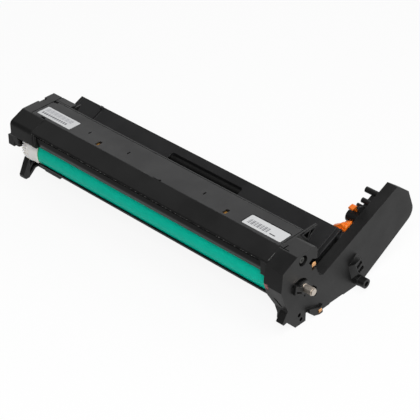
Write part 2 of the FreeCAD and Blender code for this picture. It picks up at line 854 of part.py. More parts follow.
def front_cover():
    x0 = drum_left + 1
    x1 = fin_right - 0.3
    path = [front_cover_top, front_cover_knee, front_edge]
    body = strip(path, slant_wall, x0, x1).cut(block(x0, x1, -cover_front - 0.1, -4, under_top - 2, top_z))
    adds = [body]
    y0 = front_edge[0] + 0.2
    adds.append(block(x1 - 5.6, x1, y0, y0 + 3.2, 11, front_edge[1] + 0.3))
    adds.append(block(x0, x0 + 4.8, y0, y0 + 3.2, 11, front_edge[1] + 0.3))
    body = fused(adds)
    for x in (x0 + 1, x0 + 3.4):
        body = body.cut(block(x, x + 0.8, y0 - 0.2, y0 + 1.4, 12, front_edge[1] - 1))
    return body


def front_shield():
    return strip(shield_path, shield_wall, drum_left + 5.9, fin_right - 6.1)


def drum_seal():
    u = towards(shield_path[1], shield_path[2])
    start = (shield_path[2][0] - 0.2 * u[1], shield_path[2][1] + 0.2 * u[0])
    end = (start[0] + 1.3 * u[0], start[1] + 1.3 * u[1])
    return strip([start, end], 0.9, drum_left + 5.9, fin_right - 6.1)


def lower_guard():
    x0 = drum_left + 0.5
    x1 = drum_right - 0.5
    inner = drum_r + 0.6
    ring = tube(x0, x1, 0, 0, inner + guard_wall, inner)
    far = 3 * drum_r
    a = math.radians(-156)
    b = math.radians(-96)
    corners = [(0, 0), (far * math.cos(a), far * math.sin(a)), (far * math.cos(b), far * math.sin(b))]
    sector = prism(corners, x0, x1)
    tongue = block(x0, x1, inner * math.cos(b) - 0.4, 3, floor_top, -inner - 0.3)
    return fused([ring.common(sector), tongue])


def rear_deck():
    x0 = drum_left + 3
    x1 = chamber_right
    body = strip([(chamber_back, deck_z(chamber_back)), (bay_back, deck_z(bay_back))], frame_wall, x0, x1)
    z0 = deck_z(bay_back) - frame_wall
    z1 = deck_z(chamber_back)
    middle = along(grip_slot_share)
    half = grip_slot_length / 2
    y0 = grip_y - 12
    slot = [(middle - half, y0, 2), (middle + half, y0, 2)]
    slot += [(middle + half, y0 + grip_slot_width, 2), (middle - half, y0 + grip_slot_width, 2)]
    body = body.cut(plan_prism(slot, z0, z1))
    deck_line = [(chamber_back, deck_z(chamber_back)), (bay_back, deck_z(bay_back))]
    groove = strip(deck_line, 0.5, x1 - 5, x1 - 4)
    return body.cut(groove)


def deck_end_cover():
    deck_line = [(chamber_back, deck_z(chamber_back)), (bay_back, deck_z(bay_back))]
    body = strip(deck_line, frame_wall, left_wall_inner, drum_left + 3)
    return body


# Left end cap

def left_end_cap():
    """Cap whose outline wall is cut back to fit round the frame, the covers and the drum's flange."""
    ring = prism(left_outline, left_face, drum_left + 1)
    ring = ring.cut(prism(inset(left_outline, skirt_wall), left_wall_inner, drum_left + 1))
    zones = [
        block(left_face, left_face + 5, nose_y - 5, chamber_back + 5, base_z, top_z),
        block(left_face, drum_left + 1, nose_y, -cover_front - 0.2, 11, top_z),
        block(left_face, frame_left - 4, -cover_front - 0.2, bay_back + 5, 10, top_z),
        block(left_face, frame_left, 0, chamber_back + 1, base_z, bay_back),
    ]
    body = ring.common(fused(zones))
    foot = [(-9, 17), (-7, 17), (-9.5, 0), (-12.8, 0), (-14.8, 1.5), (-15.2, 3.8)]
    lug = [(-18, -0.5), (-16, -0.5), (-10, 1.5), (-10, 8), (-18, 8)]
    adds = [
        prism(shifted(foot, (0, base_z)), left_face, left_face + 5),
        block(left_face, frame_left, chamber_back - 15.7, chamber_back - 5.7, base_z, foot_z + 1),
        rod(left_wall_inner, left_wall_inner + 3.3, 0, 0, shaft_r + 4),
        prism(lug, left_face - 6.5, left_face),
    ]
    for y, z in cap_posts:
        side = (y - post_half, y + post_half, z - post_half, z + post_half)
        adds.append(block(left_wall_inner, frame_left, *side))
    body = fused([body] + adds)
    under = frame_wall / math.cos(math.radians(deck_angle))
    deck_room = [
        (bay_back, deck_z(bay_back) - under),
        (chamber_back, deck_z(chamber_back) - under),
        (chamber_back, deck_z(chamber_back) + 1),
        (bay_back, deck_z(bay_back) + 1),
    ]
    gear_y = auger_axis[1]
    cuts = [
        prism(deck_room, left_wall_inner, frame_left),
        block(frame_left - 7.5, frame_left - 1.5, bay_rear - 1, bay_back, gear_y - 8, gear_y + 8),
        block(left_face, left_face + 3, 8.8, 15.4, top_z - 1.2, top_z),
        rod(left_wall_inner, left_wall_inner + 3.3, 0, 0, shaft_r + 2 + running_gap),
    ]
    for y, z in cap_posts:
        cuts.append(many_sided(left_face, frame_left, (y, z), screw_hole, 8))
    for cut in cuts:
        body = body.cut(cut)
    return body


# Charging roller

def charge_roller_core():
    return rod(frame_left + frame_wall + seat_gap, fin_left - seat_gap, roller_y, roller_z, roller_core)


def charge_roller():
    x0 = drum_left + roller_inset
    x1 = drum_right - roller_inset - 4
    return tube(x0, x1, roller_y, roller_z, roller_radius, roller_core + press_gap)


def charge_bearing(x0):
    half = bearing_half
    body = block(x0, x0 + bearing_width, roller_y - half, roller_y + half, roller_z - half, roller_z + half)
    body.rotate(vec(0, roller_y, roller_z), vec(1, 0, 0), roller_angle - 90)
    return body.cut(rod(x0, x0 + bearing_width, roller_y, roller_z, roller_core + running_gap))


def charge_spring(x0):
    """Coil spring that presses the bearing towards the drum."""
    pitch = spring_length / spring_turns
    half = spring_wire / 2
    rings = []
    for i in range(spring_turns * spring_steps + 1):
        turn = 360 * i / spring_steps
        ring = []
        for j in range(5):
            angle = math.radians(72 * j)
            x = pitch * i / spring_steps + half * math.sin(angle)
            ring.append(around(x, (0, 0), spring_radius + half * math.cos(angle), turn))
        rings.append(ring)
    coil = ringed(rings)
    coil.rotate(vec(0, 0, 0), vec(0, 1, 0), -90)
    coil.translate(vec(x0 + bearing_width / 2, roller_y, roller_z + bearing_half + spring_wire / 2))
    coil.rotate(vec(0, roller_y, roller_z), vec(1, 0, 0), roller_angle - 90)
    return coil


bearing_right = fin_left - seat_gap - bearing_width
bearing_left = frame_left + frame_wall + seat_gap


# Cleaning

blade_tip = (
    (drum_r + seat_gap) * math.cos(math.radians(blade_contact_angle)),
    (drum_r + seat_gap) * math.sin(math.radians(blade_contact_angle)),
)
blade_up = (-math.cos(math.radians(blade_slope)), math.sin(math.radians(blade_slope)))


def cleaning_blade():
    end = (blade_tip[0] + blade_length * blade_up[0], blade_tip[1] + blade_length * blade_up[1])
    return strip([end, blade_tip], blade_thickness, drum_left + 2, drum_right - 2)


def blade_bracket():
    """Steel angle: one leg carries the blade, the other lies under the top cover."""
    side = (blade_up[1] * blade_thickness, -blade_up[0] * blade_thickness)
    foot = (bracket_foot * blade_up[0], bracket_foot * blade_up[1])
    start = (blade_tip[0] + side[0] + foot[0], blade_tip[1] + side[1] + foot[1])
    rise = (under_top - bracket_wall / 2 - start[1]) / blade_up[1]
    knee = (start[0] + rise * blade_up[0], start[1] + rise * blade_up[1])
    x0 = drum_left + 2
    x1 = drum_right - 2
    leg = strip([knee, start], bracket_wall, x0, x1)
    top = block(x0, x1, knee[0], knee[0] + bracket_top, under_top - bracket_wall, under_top)
    return fused([leg, top])


def auger_ring(x, turn, reach):
    """Section across the auger: its core with the flight's blade standing out to a reach."""
    blade = 360 * auger_blade / auger_pitch
    ring = [around(x, auger_axis, reach, turn - blade / 4), around(x, auger_axis, reach, turn + blade / 4)]
    for step in (blade / 2, 65, 122, 180, 238, 295, 360 - blade / 2):
        ring.append(around(x, auger_axis, auger_core, turn + step))
    return ring


def waste_auger():
    """Screw whose flight runs out into the core before each bearing."""
    x0 = frame_left + 5
    count = round((fin_left - 3 - x0) / auger_pitch * auger_steps)
    rings = [auger_ring(frame_left - left_gear_reach, 0, auger_core)]
    for i in range(count + 1):
        reach = auger_radius if 0 < i < count else auger_core
        rings.append(auger_ring(x0 + auger_pitch * i / auger_steps, 360 * i / auger_steps, reach))
    rings.append(auger_ring(fin_right, 360 * count / auger_steps, auger_core))
    return ringed(rings)


def auger_gear():
    x1 = drum_left - left_rim
    x0 = x1 - flange_gear_width
    wheel = gear(auger_teeth, auger_module, x0, x1, auger_axis, auger_phase)
    return bored(wheel, x0, x1, auger_axis, auger_core + press_gap)


# Contacts, seals, screws

def brass_strip():
    x0 = along(slot_shares[0]) - 5.8
    x1 = along(slot_shares[1]) + 5.3
    return block(x0, x1, slot_front - 0.3, slot_rear - 0.3, under_top - contact_wall, under_top)


def upper_contact():
    low = contact_notch_low + seat_gap
    return block(-cap_wall - 2.8, -0.8, cap_rear - 4.5, cap_rear, low, low + 5.3)


def lower_contact():
    face = contact_boss_height
    return block(face, face + contact_wall, 13.8, 17.5, base_z + 1.4, base_z + 4.7)


def end_seal():
    corners = shifted([(0.2, 8), (1.6, 3), (3.5, 3), (2.2, 8)], (nose_y, 0))
    return prism(corners, -hood_depth, -hood_depth + seal_depth)


def ground_clip():
    """Thin steel clip in the seam beside the front cover, along its slope."""
    u = towards(front_cover_top, front_cover_knee)
    lift = (clip_height * u[1], -clip_height * u[0])
    start = (front_cover_top[0] + 6.3 * u[0] + lift[0], front_cover_top[1] + 6.3 * u[1] + lift[1])
    end = (start[0] + 7.5 * u[0], start[1] + 7.5 * u[1])
    return strip([start, end], 2 * clip_height, fin_right - 0.3, fin_right)


def screw(x, y, z, way):
    """Pan-head screw with a cross recess, seated at x, its shank running the given way along X."""
    top = x - way * screw_head_height
    tip = x + way * screw_length
    head = rod(min(x, top), max(x, top), y, z, screw_head)
    shank = many_sided(min(x, tip), max(x, tip), (y, z), screw_hole - running_gap, 8)
    body = head.fuse(shank)
    floor = top + way * screw_head_height / 2
    arm = screw_recess
    half = screw_recess / 5
    for a, b in ((arm, half), (half, arm)):
        body = body.cut(block(min(top, floor), max(top, floor), y - a, y + a, z - b, z + b))
    return body


def screws():
    items = [screw(-screw_seat, screw_place[0], screw_place[1], -1)]
    for y, z in cap_posts:
        items.append(screw(left_face, y, z, 1))
    return Part.makeCompound(items)


nodes = {
    "opc_drum": opc_drum(),
    "drum_flange_right": drum_flange_right(),
    "drum_flange_left": drum_flange_left(),
    "drum_gear": drum_gear(),
    "drum_shaft": drum_shaft(),
    "shaft_bush_right": shaft_bush_right(),
    "shaft_bush_left": shaft_bush_left(),
    "idler_gear_1": idler(idler_1, idler_1_teeth, phase_1),
    "idler_gear_2": idler(idler_2, idler_2_teeth, phase_2),
    "idler_gear_3": idler(idler_3, idler_3_teeth, phase_3),
    "output_coupling": output_coupling(),
    "right_end_cap": right_end_cap(),
    "arm_inner_cover": arm_inner_cover(),
    "lock_lever": lock_lever(),
    "main_frame": main_frame(),
    "grip_bar": grip_bar(),
    "top_cover": top_cover(),
    "front_cover": front_cover(),
    "front_shield": front_shield(),
    "drum_seal": drum_seal(),
    "lower_guard": lower_guard(),
    "rear_deck": rear_deck(),
    "deck_end_cover": deck_end_cover(),
    "left_end_cap": left_end_cap(),
    "charge_roller_core": charge_roller_core(),
    "charge_roller": charge_roller(),
    "charge_bearing_right": charge_bearing(bearing_right),
    "charge_bearing_left": charge_bearing(bearing_left),
    "charge_spring_right": charge_spring(bearing_right),
    "charge_spring_left": charge_spring(bearing_left),
    "cleaning_blade": cleaning_blade(),
    "blade_bracket": blade_bracket(),
    "waste_auger": waste_auger(),
    "auger_gear": auger_gear(),
    "brass_strip": brass_strip(),
    "upper_contact": upper_contact(),
    "lower_contact": lower_contact(),
    "end_seal": end_seal(),
    "ground_clip": ground_clip(),
    "screws": screws(),
}

for name, shape in nodes.items():
    shape.exportStep("parts/" + name + ".step")
    print(name, len(shape.Solids), shape.isValid(), round(shape.Volume, 1))
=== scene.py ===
import math

import bmesh
import bpy
from mathutils import Matrix, Vector


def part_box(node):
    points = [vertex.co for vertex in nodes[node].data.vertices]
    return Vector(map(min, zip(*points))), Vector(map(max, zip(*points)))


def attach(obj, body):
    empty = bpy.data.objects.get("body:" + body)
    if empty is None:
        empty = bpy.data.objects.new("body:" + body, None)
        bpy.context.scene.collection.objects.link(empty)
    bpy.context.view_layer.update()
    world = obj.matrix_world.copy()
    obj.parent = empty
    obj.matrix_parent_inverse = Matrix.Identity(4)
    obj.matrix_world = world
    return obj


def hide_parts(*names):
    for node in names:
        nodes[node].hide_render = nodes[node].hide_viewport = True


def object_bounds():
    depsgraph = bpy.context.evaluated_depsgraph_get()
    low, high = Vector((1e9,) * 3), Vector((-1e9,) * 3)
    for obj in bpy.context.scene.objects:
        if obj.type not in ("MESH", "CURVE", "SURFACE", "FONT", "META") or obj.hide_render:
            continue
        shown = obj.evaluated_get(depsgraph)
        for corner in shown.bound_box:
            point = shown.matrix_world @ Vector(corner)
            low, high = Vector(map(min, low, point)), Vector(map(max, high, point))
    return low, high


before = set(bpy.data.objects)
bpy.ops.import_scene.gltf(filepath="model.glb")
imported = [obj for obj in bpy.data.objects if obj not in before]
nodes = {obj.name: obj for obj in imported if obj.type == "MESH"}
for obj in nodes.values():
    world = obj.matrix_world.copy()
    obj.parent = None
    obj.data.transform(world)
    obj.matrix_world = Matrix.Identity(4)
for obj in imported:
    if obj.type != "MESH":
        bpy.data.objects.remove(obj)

cad_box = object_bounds()
MM = 0.001


# Colours and node trees

def linear(hex_colour):
    """An sRGB colour such as 2A2B2C as Blender's linear red, green, blue and alpha."""
    channels = []
    for i in (0, 2, 4):
        value = int(hex_colour[i:i + 2], 16) / 255
        channels.append(value / 12.92 if value <= 0.04045 else ((value + 0.055) / 1.055) ** 2.4)
    return (*channels, 1.0)


def shade(colour, factor, lift=0.0):
    """A linear colour made darker or paler, by the same factor and lift in each channel."""
    return tuple(min(1, channel * factor + lift) for channel in colour[:3]) + (1.0,)


def add(tree, kind, inputs=None, **settings):
    """Adds one node: the settings are its own properties, and the inputs are values or links."""
    made = tree.nodes.new(kind)
    for key, value in settings.items():
        setattr(made, key, value)
    for key, value in (inputs or {}).items():
        if isinstance(value, bpy.types.NodeSocket):
            tree.links.new(value, made.inputs[key])
        else:
            made.inputs[key].default_value = value
    return made


def blank(name):
    """A new material without nodes, and its node tree."""
    material = bpy.data.materials.new(name)
    material.use_nodes = True
    material.node_tree.nodes.clear()
    return material, material.node_tree


def eased_edges(tree, radius_mm, bump=None):
    """Normals of edges rounded as a mould leaves them, and how near the surface is to such an edge."""
    inputs = {"Radius": radius_mm * MM}
    if bump:
        inputs["Normal"] = bump
    eased = add(tree, "ShaderNodeBevel", inputs, samples=4)
    flat = add(tree, "ShaderNodeNewGeometry")
    facing = add(tree, "ShaderNodeVectorMath", {
        0: eased.outputs[0], 1: flat.outputs["Normal"],
    }, operation="DOT_PRODUCT")
    edge = add(tree, "ShaderNodeMapRange", {
        "Value": facing.outputs["Value"], "From Min": 0.995, "From Max": 0.8,
    })
    return eased.outputs[0], edge.outputs[0]


# Materials

def moulded_plastic(name, colour, roughness, grain=0.06, edge_radius_mm=0.35, edge_highlight_lift=0.5, ior=1.47):
    """ABS or acetal moulded in a spark-eroded tool: matt, with a fine even grain and soft edges lit by a
    painted highlight.

    The real grain is about 0.1 mm; it is drawn at 0.7 mm so that it shows at all.
    """
    grain_mm = 0.7
    patch_mm = 22
    gloss_spread = 0.05
    material, tree = blank(name)
    place = add(tree, "ShaderNodeTexCoord").outputs["Object"]
    sparks = add(tree, "ShaderNodeTexNoise", {"Vector": place, "Scale": 1 / (grain_mm * MM), "Detail": 3.0})
    mottle = add(tree, "ShaderNodeTexNoise", {
        "Vector": place, "Scale": 1 / (patch_mm * MM), "Detail": 4.0, "Roughness": 0.6,
    })
    bump = add(tree, "ShaderNodeBump", {
        "Height": sparks.outputs[0], "Strength": grain, "Distance": 0.1 * MM,
    })
    normal, edge = eased_edges(tree, edge_radius_mm, bump.outputs[0])
    base = linear(colour)
    dull = shade(base, factor=0.86)
    # Painted highlight: the rounded edges are painted paler, as where light catches them.
    pale = shade(base, factor=1 + edge_highlight_lift, lift=0.004)
    patch = add(tree, "ShaderNodeMapRange", {
        "Value": mottle.outputs[0], "From Min": 0.35, "From Max": 0.65,
    })
    body = add(tree, "ShaderNodeMix", {"Factor": patch.outputs[0], "A": dull, "B": base}, data_type="RGBA")
    with_painted_highlight = add(tree, "ShaderNodeMix", {
        "Factor": edge, "A": body.outputs["Result"], "B": pale,
    }, data_type="RGBA")
    gloss = add(tree, "ShaderNodeMapRange", {
        "Value": patch.outputs[0], "To Min": roughness - gloss_spread, "To Max": roughness + gloss_spread,
    })
    shader = add(tree, "ShaderNodeBsdfPrincipled", {
        "Base Color": with_painted_highlight.outputs["Result"], "Roughness": gloss.outputs[0], "Normal": normal, "IOR": ior,
    })
    add(tree, "ShaderNodeOutputMaterial", {"Surface": shader.outputs[0]})
    return material


def polished_abs(name, colour, roughness, ior=1.47):
    """ABS from a polished tool: glossier, with only faint waves in its reflections, and a painted highlight
    along its edges.
    """
    wave_mm = 6
    edge_radius_mm = 0.25
    gloss_spread = 0.04
    material, tree = blank(name)
    place = add(tree, "ShaderNodeTexCoord").outputs["Object"]
    stretched = add(tree, "ShaderNodeMapping", {"Vector": place, "Scale": (0.15, 1.0, 1.0)})
    waves = add(tree, "ShaderNodeTexNoise", {
        "Vector": stretched.outputs[0], "Scale": 1 / (wave_mm * MM), "Detail": 2.0,
    })
    bump = add(tree, "ShaderNodeBump", {"Height": waves.outputs[0], "Strength": 0.05, "Distance": 0.2 * MM})
    normal, edge = eased_edges(tree, edge_radius_mm, bump.outputs[0])
    base = linear(colour)
    # Painted highlight: the rounded edges are painted paler, as where light catches them.
    pale = shade(base, factor=1.8, lift=0.004)
    with_painted_highlight = add(tree, "ShaderNodeMix", {"Factor": edge, "A": base, "B": pale}, data_type="RGBA")
    gloss = add(tree, "ShaderNodeMapRange", {
        "Value": waves.outputs[0], "To Min": roughness - gloss_spread, "To Max": roughness + gloss_spread,
    })
    shader = add(tree, "ShaderNodeBsdfPrincipled", {
        "Base Color": with_painted_highlight.outputs["Result"], "Roughness": gloss.outputs[0], "Normal": normal, "IOR": ior,
    })
    add(tree, "ShaderNodeOutputMaterial", {"Surface": shader.outputs[0]})
    return material


def glinting_flash(name, dark, bright):
    """Moulding flash: black, with bright specks about 3 mm apart painted into its colour, as painted glints
    where it catches the light.
    """
    speck_mm = 1.6
    material, tree = blank(name)
    along = add(tree, "ShaderNodeSeparateXYZ", {"Vector": add(tree, "ShaderNodeTexCoord").outputs["Object"]})
    specks = add(tree, "ShaderNodeTexNoise", {
        "W": along.outputs["X"], "Scale": 1 / (speck_mm * MM), "Detail": 2.0,
    }, noise_dimensions="1D")
    lit = add(tree, "ShaderNodeMapRange", {
        "Value": specks.outputs[0], "From Min": 0.56, "From Max": 0.68,
    })
    # Painted glints: bright specks mixed into the black.
    body = add(tree, "ShaderNodeMix", {
        "Factor": lit.outputs[0], "A": linear(dark), "B": linear(bright),
    }, data_type="RGBA")
    shader = add(tree, "ShaderNodeBsdfPrincipled", {
        "Base Color": body.outputs["Result"], "Roughness": 0.4, "IOR": 1.45,
    })
    add(tree, "ShaderNodeOutputMaterial", {"Surface": shader.outputs[0]})
    return material


def unlit(name, colour):
    """Painted shade for recesses, gaps and openings: near black and without gloss, on thin sheets put where
    only shade shows.
    """
    material, tree = blank(name)
    shader = add(tree, "ShaderNodeBsdfPrincipled", {
        "Base Color": linear(colour), "Roughness": 1.0, "IOR": 1.04,
    })
    add(tree, "ShaderNodeOutputMaterial", {"Surface": shader.outputs[0]})
    return material


def photoconductor(name):
    """Photoconductor dip-coated on a tube: an even green with a soft gloss, yellower at its dipped ends."""
    ring_mm = 9
    band_begins_mm = 1.5
    band_full_mm = 0.6
    low, high = (Vector(corner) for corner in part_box("opc_drum"))
    middle = (low.x + high.x) / 2
    half = (high.x - low.x) / 2
    material, tree = blank(name)
    place = add(tree, "ShaderNodeTexCoord").outputs["Object"]
    along = add(tree, "ShaderNodeSeparateXYZ", {"Vector": place})
    rings = add(tree, "ShaderNodeTexNoise", {
        "W": along.outputs["X"], "Scale": 1 / (ring_mm * MM), "Detail": 3.0,
    }, noise_dimensions="1D")
    tone = add(tree, "ShaderNodeMix", {
        "Factor": rings.outputs[0], "A": linear("00B398"), "B": linear("00BEA3"),
    }, data_type="RGBA")
    from_middle = add(tree, "ShaderNodeMath", {0: along.outputs["X"], 1: middle}, operation="SUBTRACT")
    reach = add(tree, "ShaderNodeMath", {0: from_middle.outputs[0]}, operation="ABSOLUTE")
    band = add(tree, "ShaderNodeMapRange", {
        "Value": reach.outputs[0],
        "From Min": half - band_begins_mm * MM, "From Max": half - band_full_mm * MM,
    })
    ended = add(tree, "ShaderNodeMix", {
        "Factor": band.outputs[0], "A": tone.outputs["Result"], "B": linear("2FA468"),
    }, data_type="RGBA")
    shader = add(tree, "ShaderNodeBsdfPrincipled", {
        "Base Color": ended.outputs["Result"], "Roughness": 0.3, "IOR": 1.16,
    })
    add(tree, "ShaderNodeOutputMaterial", {"Surface": shader.outputs[0]})
    return material


def acetal(name, colour):
    """Unfilled acetal: slightly waxy and translucent white with a soft sheen."""
    cloud_mm = 5
    edge_radius_mm = 0.2
    warmth = (0.93, 0.91, 0.87)
    material, tree = blank(name)
    place = add(tree, "ShaderNodeTexCoord").outputs["Object"]
    cloud = add(tree, "ShaderNodeTexNoise", {"Vector": place, "Scale": 1 / (cloud_mm * MM), "Detail": 3.0})
    normal, _ = eased_edges(tree, edge_radius_mm)
    base = linear(colour)
    warm = tuple(channel * share for channel, share in zip(base, warmth)) + (1.0,)
    body = add(tree, "ShaderNodeMix", {"Factor": cloud.outputs[0], "A": base, "B": warm}, data_type="RGBA")
    shader = add(tree, "ShaderNodeBsdfPrincipled", {
        "Base Color": body.outputs["Result"], "Roughness": 0.38, "Normal": normal, "IOR": 1.48,
        "Subsurface Weight": 0.15, "Subsurface Radius": (1.2 * MM, 1.0 * MM, 0.8 * MM),
        "Subsurface Scale": 1.0,
    })
    add(tree, "ShaderNodeOutputMaterial", {"Surface": shader.outputs[0]})
    return material


def turned_metal(name, colour, roughness, ring_mm):
    """Metal turned or ground round the X axis: fine rings that streak its highlights.

    The real rings are under 0.1 mm apart; they are drawn coarser, so that they show at all.
    """
    edge_radius_mm = 0.15
    material, tree = blank(name)
    place = add(tree, "ShaderNodeTexCoord").outputs["Object"]
    squeezed = add(tree, "ShaderNodeMapping", {"Vector": place, "Scale": (1.0, 0.05, 0.05)})
    rings = add(tree, "ShaderNodeTexNoise", {
        "Vector": squeezed.outputs[0], "Scale": 1 / (ring_mm * MM), "Detail": 4.0,
    })
    bump = add(tree, "ShaderNodeBump", {"Height": rings.outputs[0], "Strength": 0.12, "Distance": 0.05 * MM})
    normal, _ = eased_edges(tree, edge_radius_mm, bump.outputs[0])
    gloss = add(tree, "ShaderNodeMapRange", {
        "Value": rings.outputs[0], "To Min": roughness - 0.06, "To Max": roughness + 0.1,
    })
    shader = add(tree, "ShaderNodeBsdfPrincipled", {
        "Base Color": linear(colour), "Metallic": 1.0, "Roughness": gloss.outputs[0], "Normal": normal,
    })
    add(tree, "ShaderNodeOutputMaterial", {"Surface": shader.outputs[0]})
    return material


def rolled_sheet(name, colour, roughness):
    """Cold-rolled sheet metal: bright, with long faint roll marks along X.

    The real marks are about 0.1 mm wide; they are drawn at 0.8 mm so that they show at all.
    """
    mark_mm = 0.8
    material, tree = blank(name)
    place = add(tree, "ShaderNodeTexCoord").outputs["Object"]
    rolled = add(tree, "ShaderNodeMapping", {"Vector": place, "Scale": (0.1, 1.0, 1.0)})
    marks = add(tree, "ShaderNodeTexNoise", {
        "Vector": rolled.outputs[0], "Scale": 1 / (mark_mm * MM), "Detail": 3.0,
    })
    bump = add(tree, "ShaderNodeBump", {"Height": marks.outputs[0], "Strength": 0.1, "Distance": 0.05 * MM})
    gloss = add(tree, "ShaderNodeMapRange", {
        "Value": marks.outputs[0], "To Min": roughness - 0.06, "To Max": roughness + 0.12,
    })
    shader = add(tree, "ShaderNodeBsdfPrincipled", {
        "Base Color": linear(colour), "Metallic": 1.0, "Roughness": gloss.outputs[0],
        "Normal": bump.outputs[0],
    })
    add(tree, "ShaderNodeOutputMaterial", {"Surface": shader.outputs[0]})
    return material


def cast_rubber(name, colour, roughness, clear=0.0):
    """Cast and ground rubber or urethane: soft, even and low in gloss.

    The real grinding marks are about 0.1 mm; they are drawn at 0.6 mm so that they show at all.
    """
    grind_mm = 0.6
    material, tree = blank(name)
    place = add(tree, "ShaderNodeTexCoord").outputs["Object"]
    grind = add(tree, "ShaderNodeTexNoise", {"Vector": place, "Scale": 1 / (grind_mm * MM), "Detail": 2.0})
    bump = add(tree, "ShaderNodeBump", {"Height": grind.outputs[0], "Strength": 0.08, "Distance": 0.05 * MM})
    shader = add(tree, "ShaderNodeBsdfPrincipled", {
        "Base Color": linear(colour), "Roughness": roughness, "Normal": bump.outputs[0], "IOR": 1.5,
        "Transmission Weight": clear,
    })
    add(tree, "ShaderNodeOutputMaterial", {"Surface": shader.outputs[0]})
    return material


def pressed_felt(name, colour):
    """Pressed wool felt: fuzzy, with short fibres about 0.4 mm apart and painted shade between them."""
    fibre_mm = 0.4
    material, tree = blank(name)
    place = add(tree, "ShaderNodeTexCoord").outputs["Object"]
    fibres = add(tree, "ShaderNodeTexNoise", {
        "Vector": place, "Scale": 1 / (fibre_mm * MM), "Detail": 5.0, "Roughness": 0.7,
    })
    bump = add(tree, "ShaderNodeBump", {"Height": fibres.outputs[0], "Strength": 0.6, "Distance": 0.2 * MM})
    base = linear(colour)
    # Painted shade where the fibres dip.
    shade_between_fibres = shade(base, factor=0.5)
    body = add(tree, "ShaderNodeMix", {"Factor": fibres.outputs[0], "A": shade_between_fibres, "B": base}, data_type="RGBA")
    shader = add(tree, "ShaderNodeBsdfPrincipled", {
        "Base Color": body.outputs["Result"], "Roughness": 0.95, "Normal": bump.outputs[0],
        "Sheen Weight": 0.4, "Sheen Roughness": 0.5,
    })
    add(tree, "ShaderNodeOutputMaterial", {"Surface": shader.outputs[0]})
    return material


def label_stock(name, colour):
    """Coated white label paper: nearly smooth, with faint fibre clouds."""
    cloud_mm = 2.5
    material, tree = blank(name)
    place = add(tree, "ShaderNodeTexCoord").outputs["Object"]
    fibre = add(tree, "ShaderNodeTexNoise", {"Vector": place, "Scale": 1 / (cloud_mm * MM), "Detail": 4.0})
    base = linear(colour)
    grey = shade(base, factor=0.93)
    body = add(tree, "ShaderNodeMix", {"Factor": fibre.outputs[0], "A": grey, "B": base}, data_type="RGBA")
    shader = add(tree, "ShaderNodeBsdfPrincipled", {
        "Base Color": body.outputs["Result"], "Roughness": 0.42, "IOR": 1.45,
    })
    add(tree, "ShaderNodeOutputMaterial", {"Surface": shader.outputs[0]})
    return material


def printed(name, colour):
    """Thermal print: dull ink with an uneven cover.

    The real dots are about 0.1 mm; the unevenness is drawn at 0.8 mm so that it shows at all.
    """
    dot_mm = 0.8
    material, tree = blank(name)
    place = add(tree, "ShaderNodeTexCoord").outputs["Object"]
    cover = add(tree, "ShaderNodeTexNoise", {"Vector": place, "Scale": 1 / (dot_mm * MM), "Detail": 2.0})
    base = linear(colour)
    thin = shade(base, factor=1.0, lift=0.06)
    body = add(tree, "ShaderNodeMix", {"Factor": cover.outputs[0], "A": thin, "B": base}, data_type="RGBA")
    shader = add(tree, "ShaderNodeBsdfPrincipled", {
        "Base Color": body.outputs["Result"], "Roughness": 0.6, "IOR": 1.45,
    })
    add(tree, "ShaderNodeOutputMaterial", {"Surface": shader.outputs[0]})
    return material


frame_abs = moulded_plastic("frame_abs_moulded", "131313", 0.42)
deck_abs = moulded_plastic("deck_abs_moulded", "1C1C1D", 0.42)
cover_abs = moulded_plastic("cover_abs_moulded", "181819", 0.46, grain=0.12, ior=1.52)
cap_abs = moulded_plastic("end_cap_abs_moulded", "111111", 0.46)
grip_abs = moulded_plastic("grip_bar_abs_moulded", "161616", 0.4, grain=0.03, ior=1.5)
lever_abs = moulded_plastic("lever_abs_orange", "FA7C1C", 0.38, grain=0.03, edge_highlight_lift=0.25)
shield_abs = polished_abs("shield_abs_polished", "0A0A0A", 0.3, ior=1.22)
guard_abs = polished_abs("guard_abs_polished", "080808", 0.5, ior=1.16)
glinting_flash_abs = glinting_flash("seam_painted_glints", "0B0B0B", "6E6E6C")
unlit_abs = unlit("recess_abs_unlit", "050505")
drum_coat = photoconductor("photoconductor_dip_coated")
flange_acetal = acetal("flange_acetal_moulded", "F4F3F2")
gear_acetal = acetal("gear_acetal_moulded", "D8D5CC")
gear_black = moulded_plastic("gear_acetal_black", "1B1B1B", 0.36)
bush_acetal = moulded_plastic("bush_acetal_moulded", "222222", 0.4)
shaft_steel = turned_metal("shaft_steel_ground", "E0D6CA", 0.42, ring_mm=0.5)
screw_steel = turned_metal("screw_steel_black_oxide", "5E5E5C", 0.4, ring_mm=0.4)
bracket_steel = rolled_sheet("bracket_steel_rolled", "BDBDBB", 0.35)
contact_copper = rolled_sheet("contact_copper_rolled", "EDB47E", 0.2)
strip_brass = rolled_sheet("strip_brass_rolled", "F0BC68", 0.6)
roller_rubber = cast_rubber("roller_rubber_ground", "202021", 0.55)
blade_urethane = cast_rubber("blade_urethane_cast", "7A5332", 0.35, clear=0.3)
seal_film = cast_rubber("seal_film_urethane", "383530", 0.5)
edge_felt = pressed_felt("edge_felt_pressed", "8E1F22")
paper = label_stock("label_paper_coated", "D3D4D5")
print_grey = printed("ink_grey", "66666C")
print_pale = printed("ink_pale_grey", "9C9CA2")
print_black = printed("ink_black", "1C1C20")

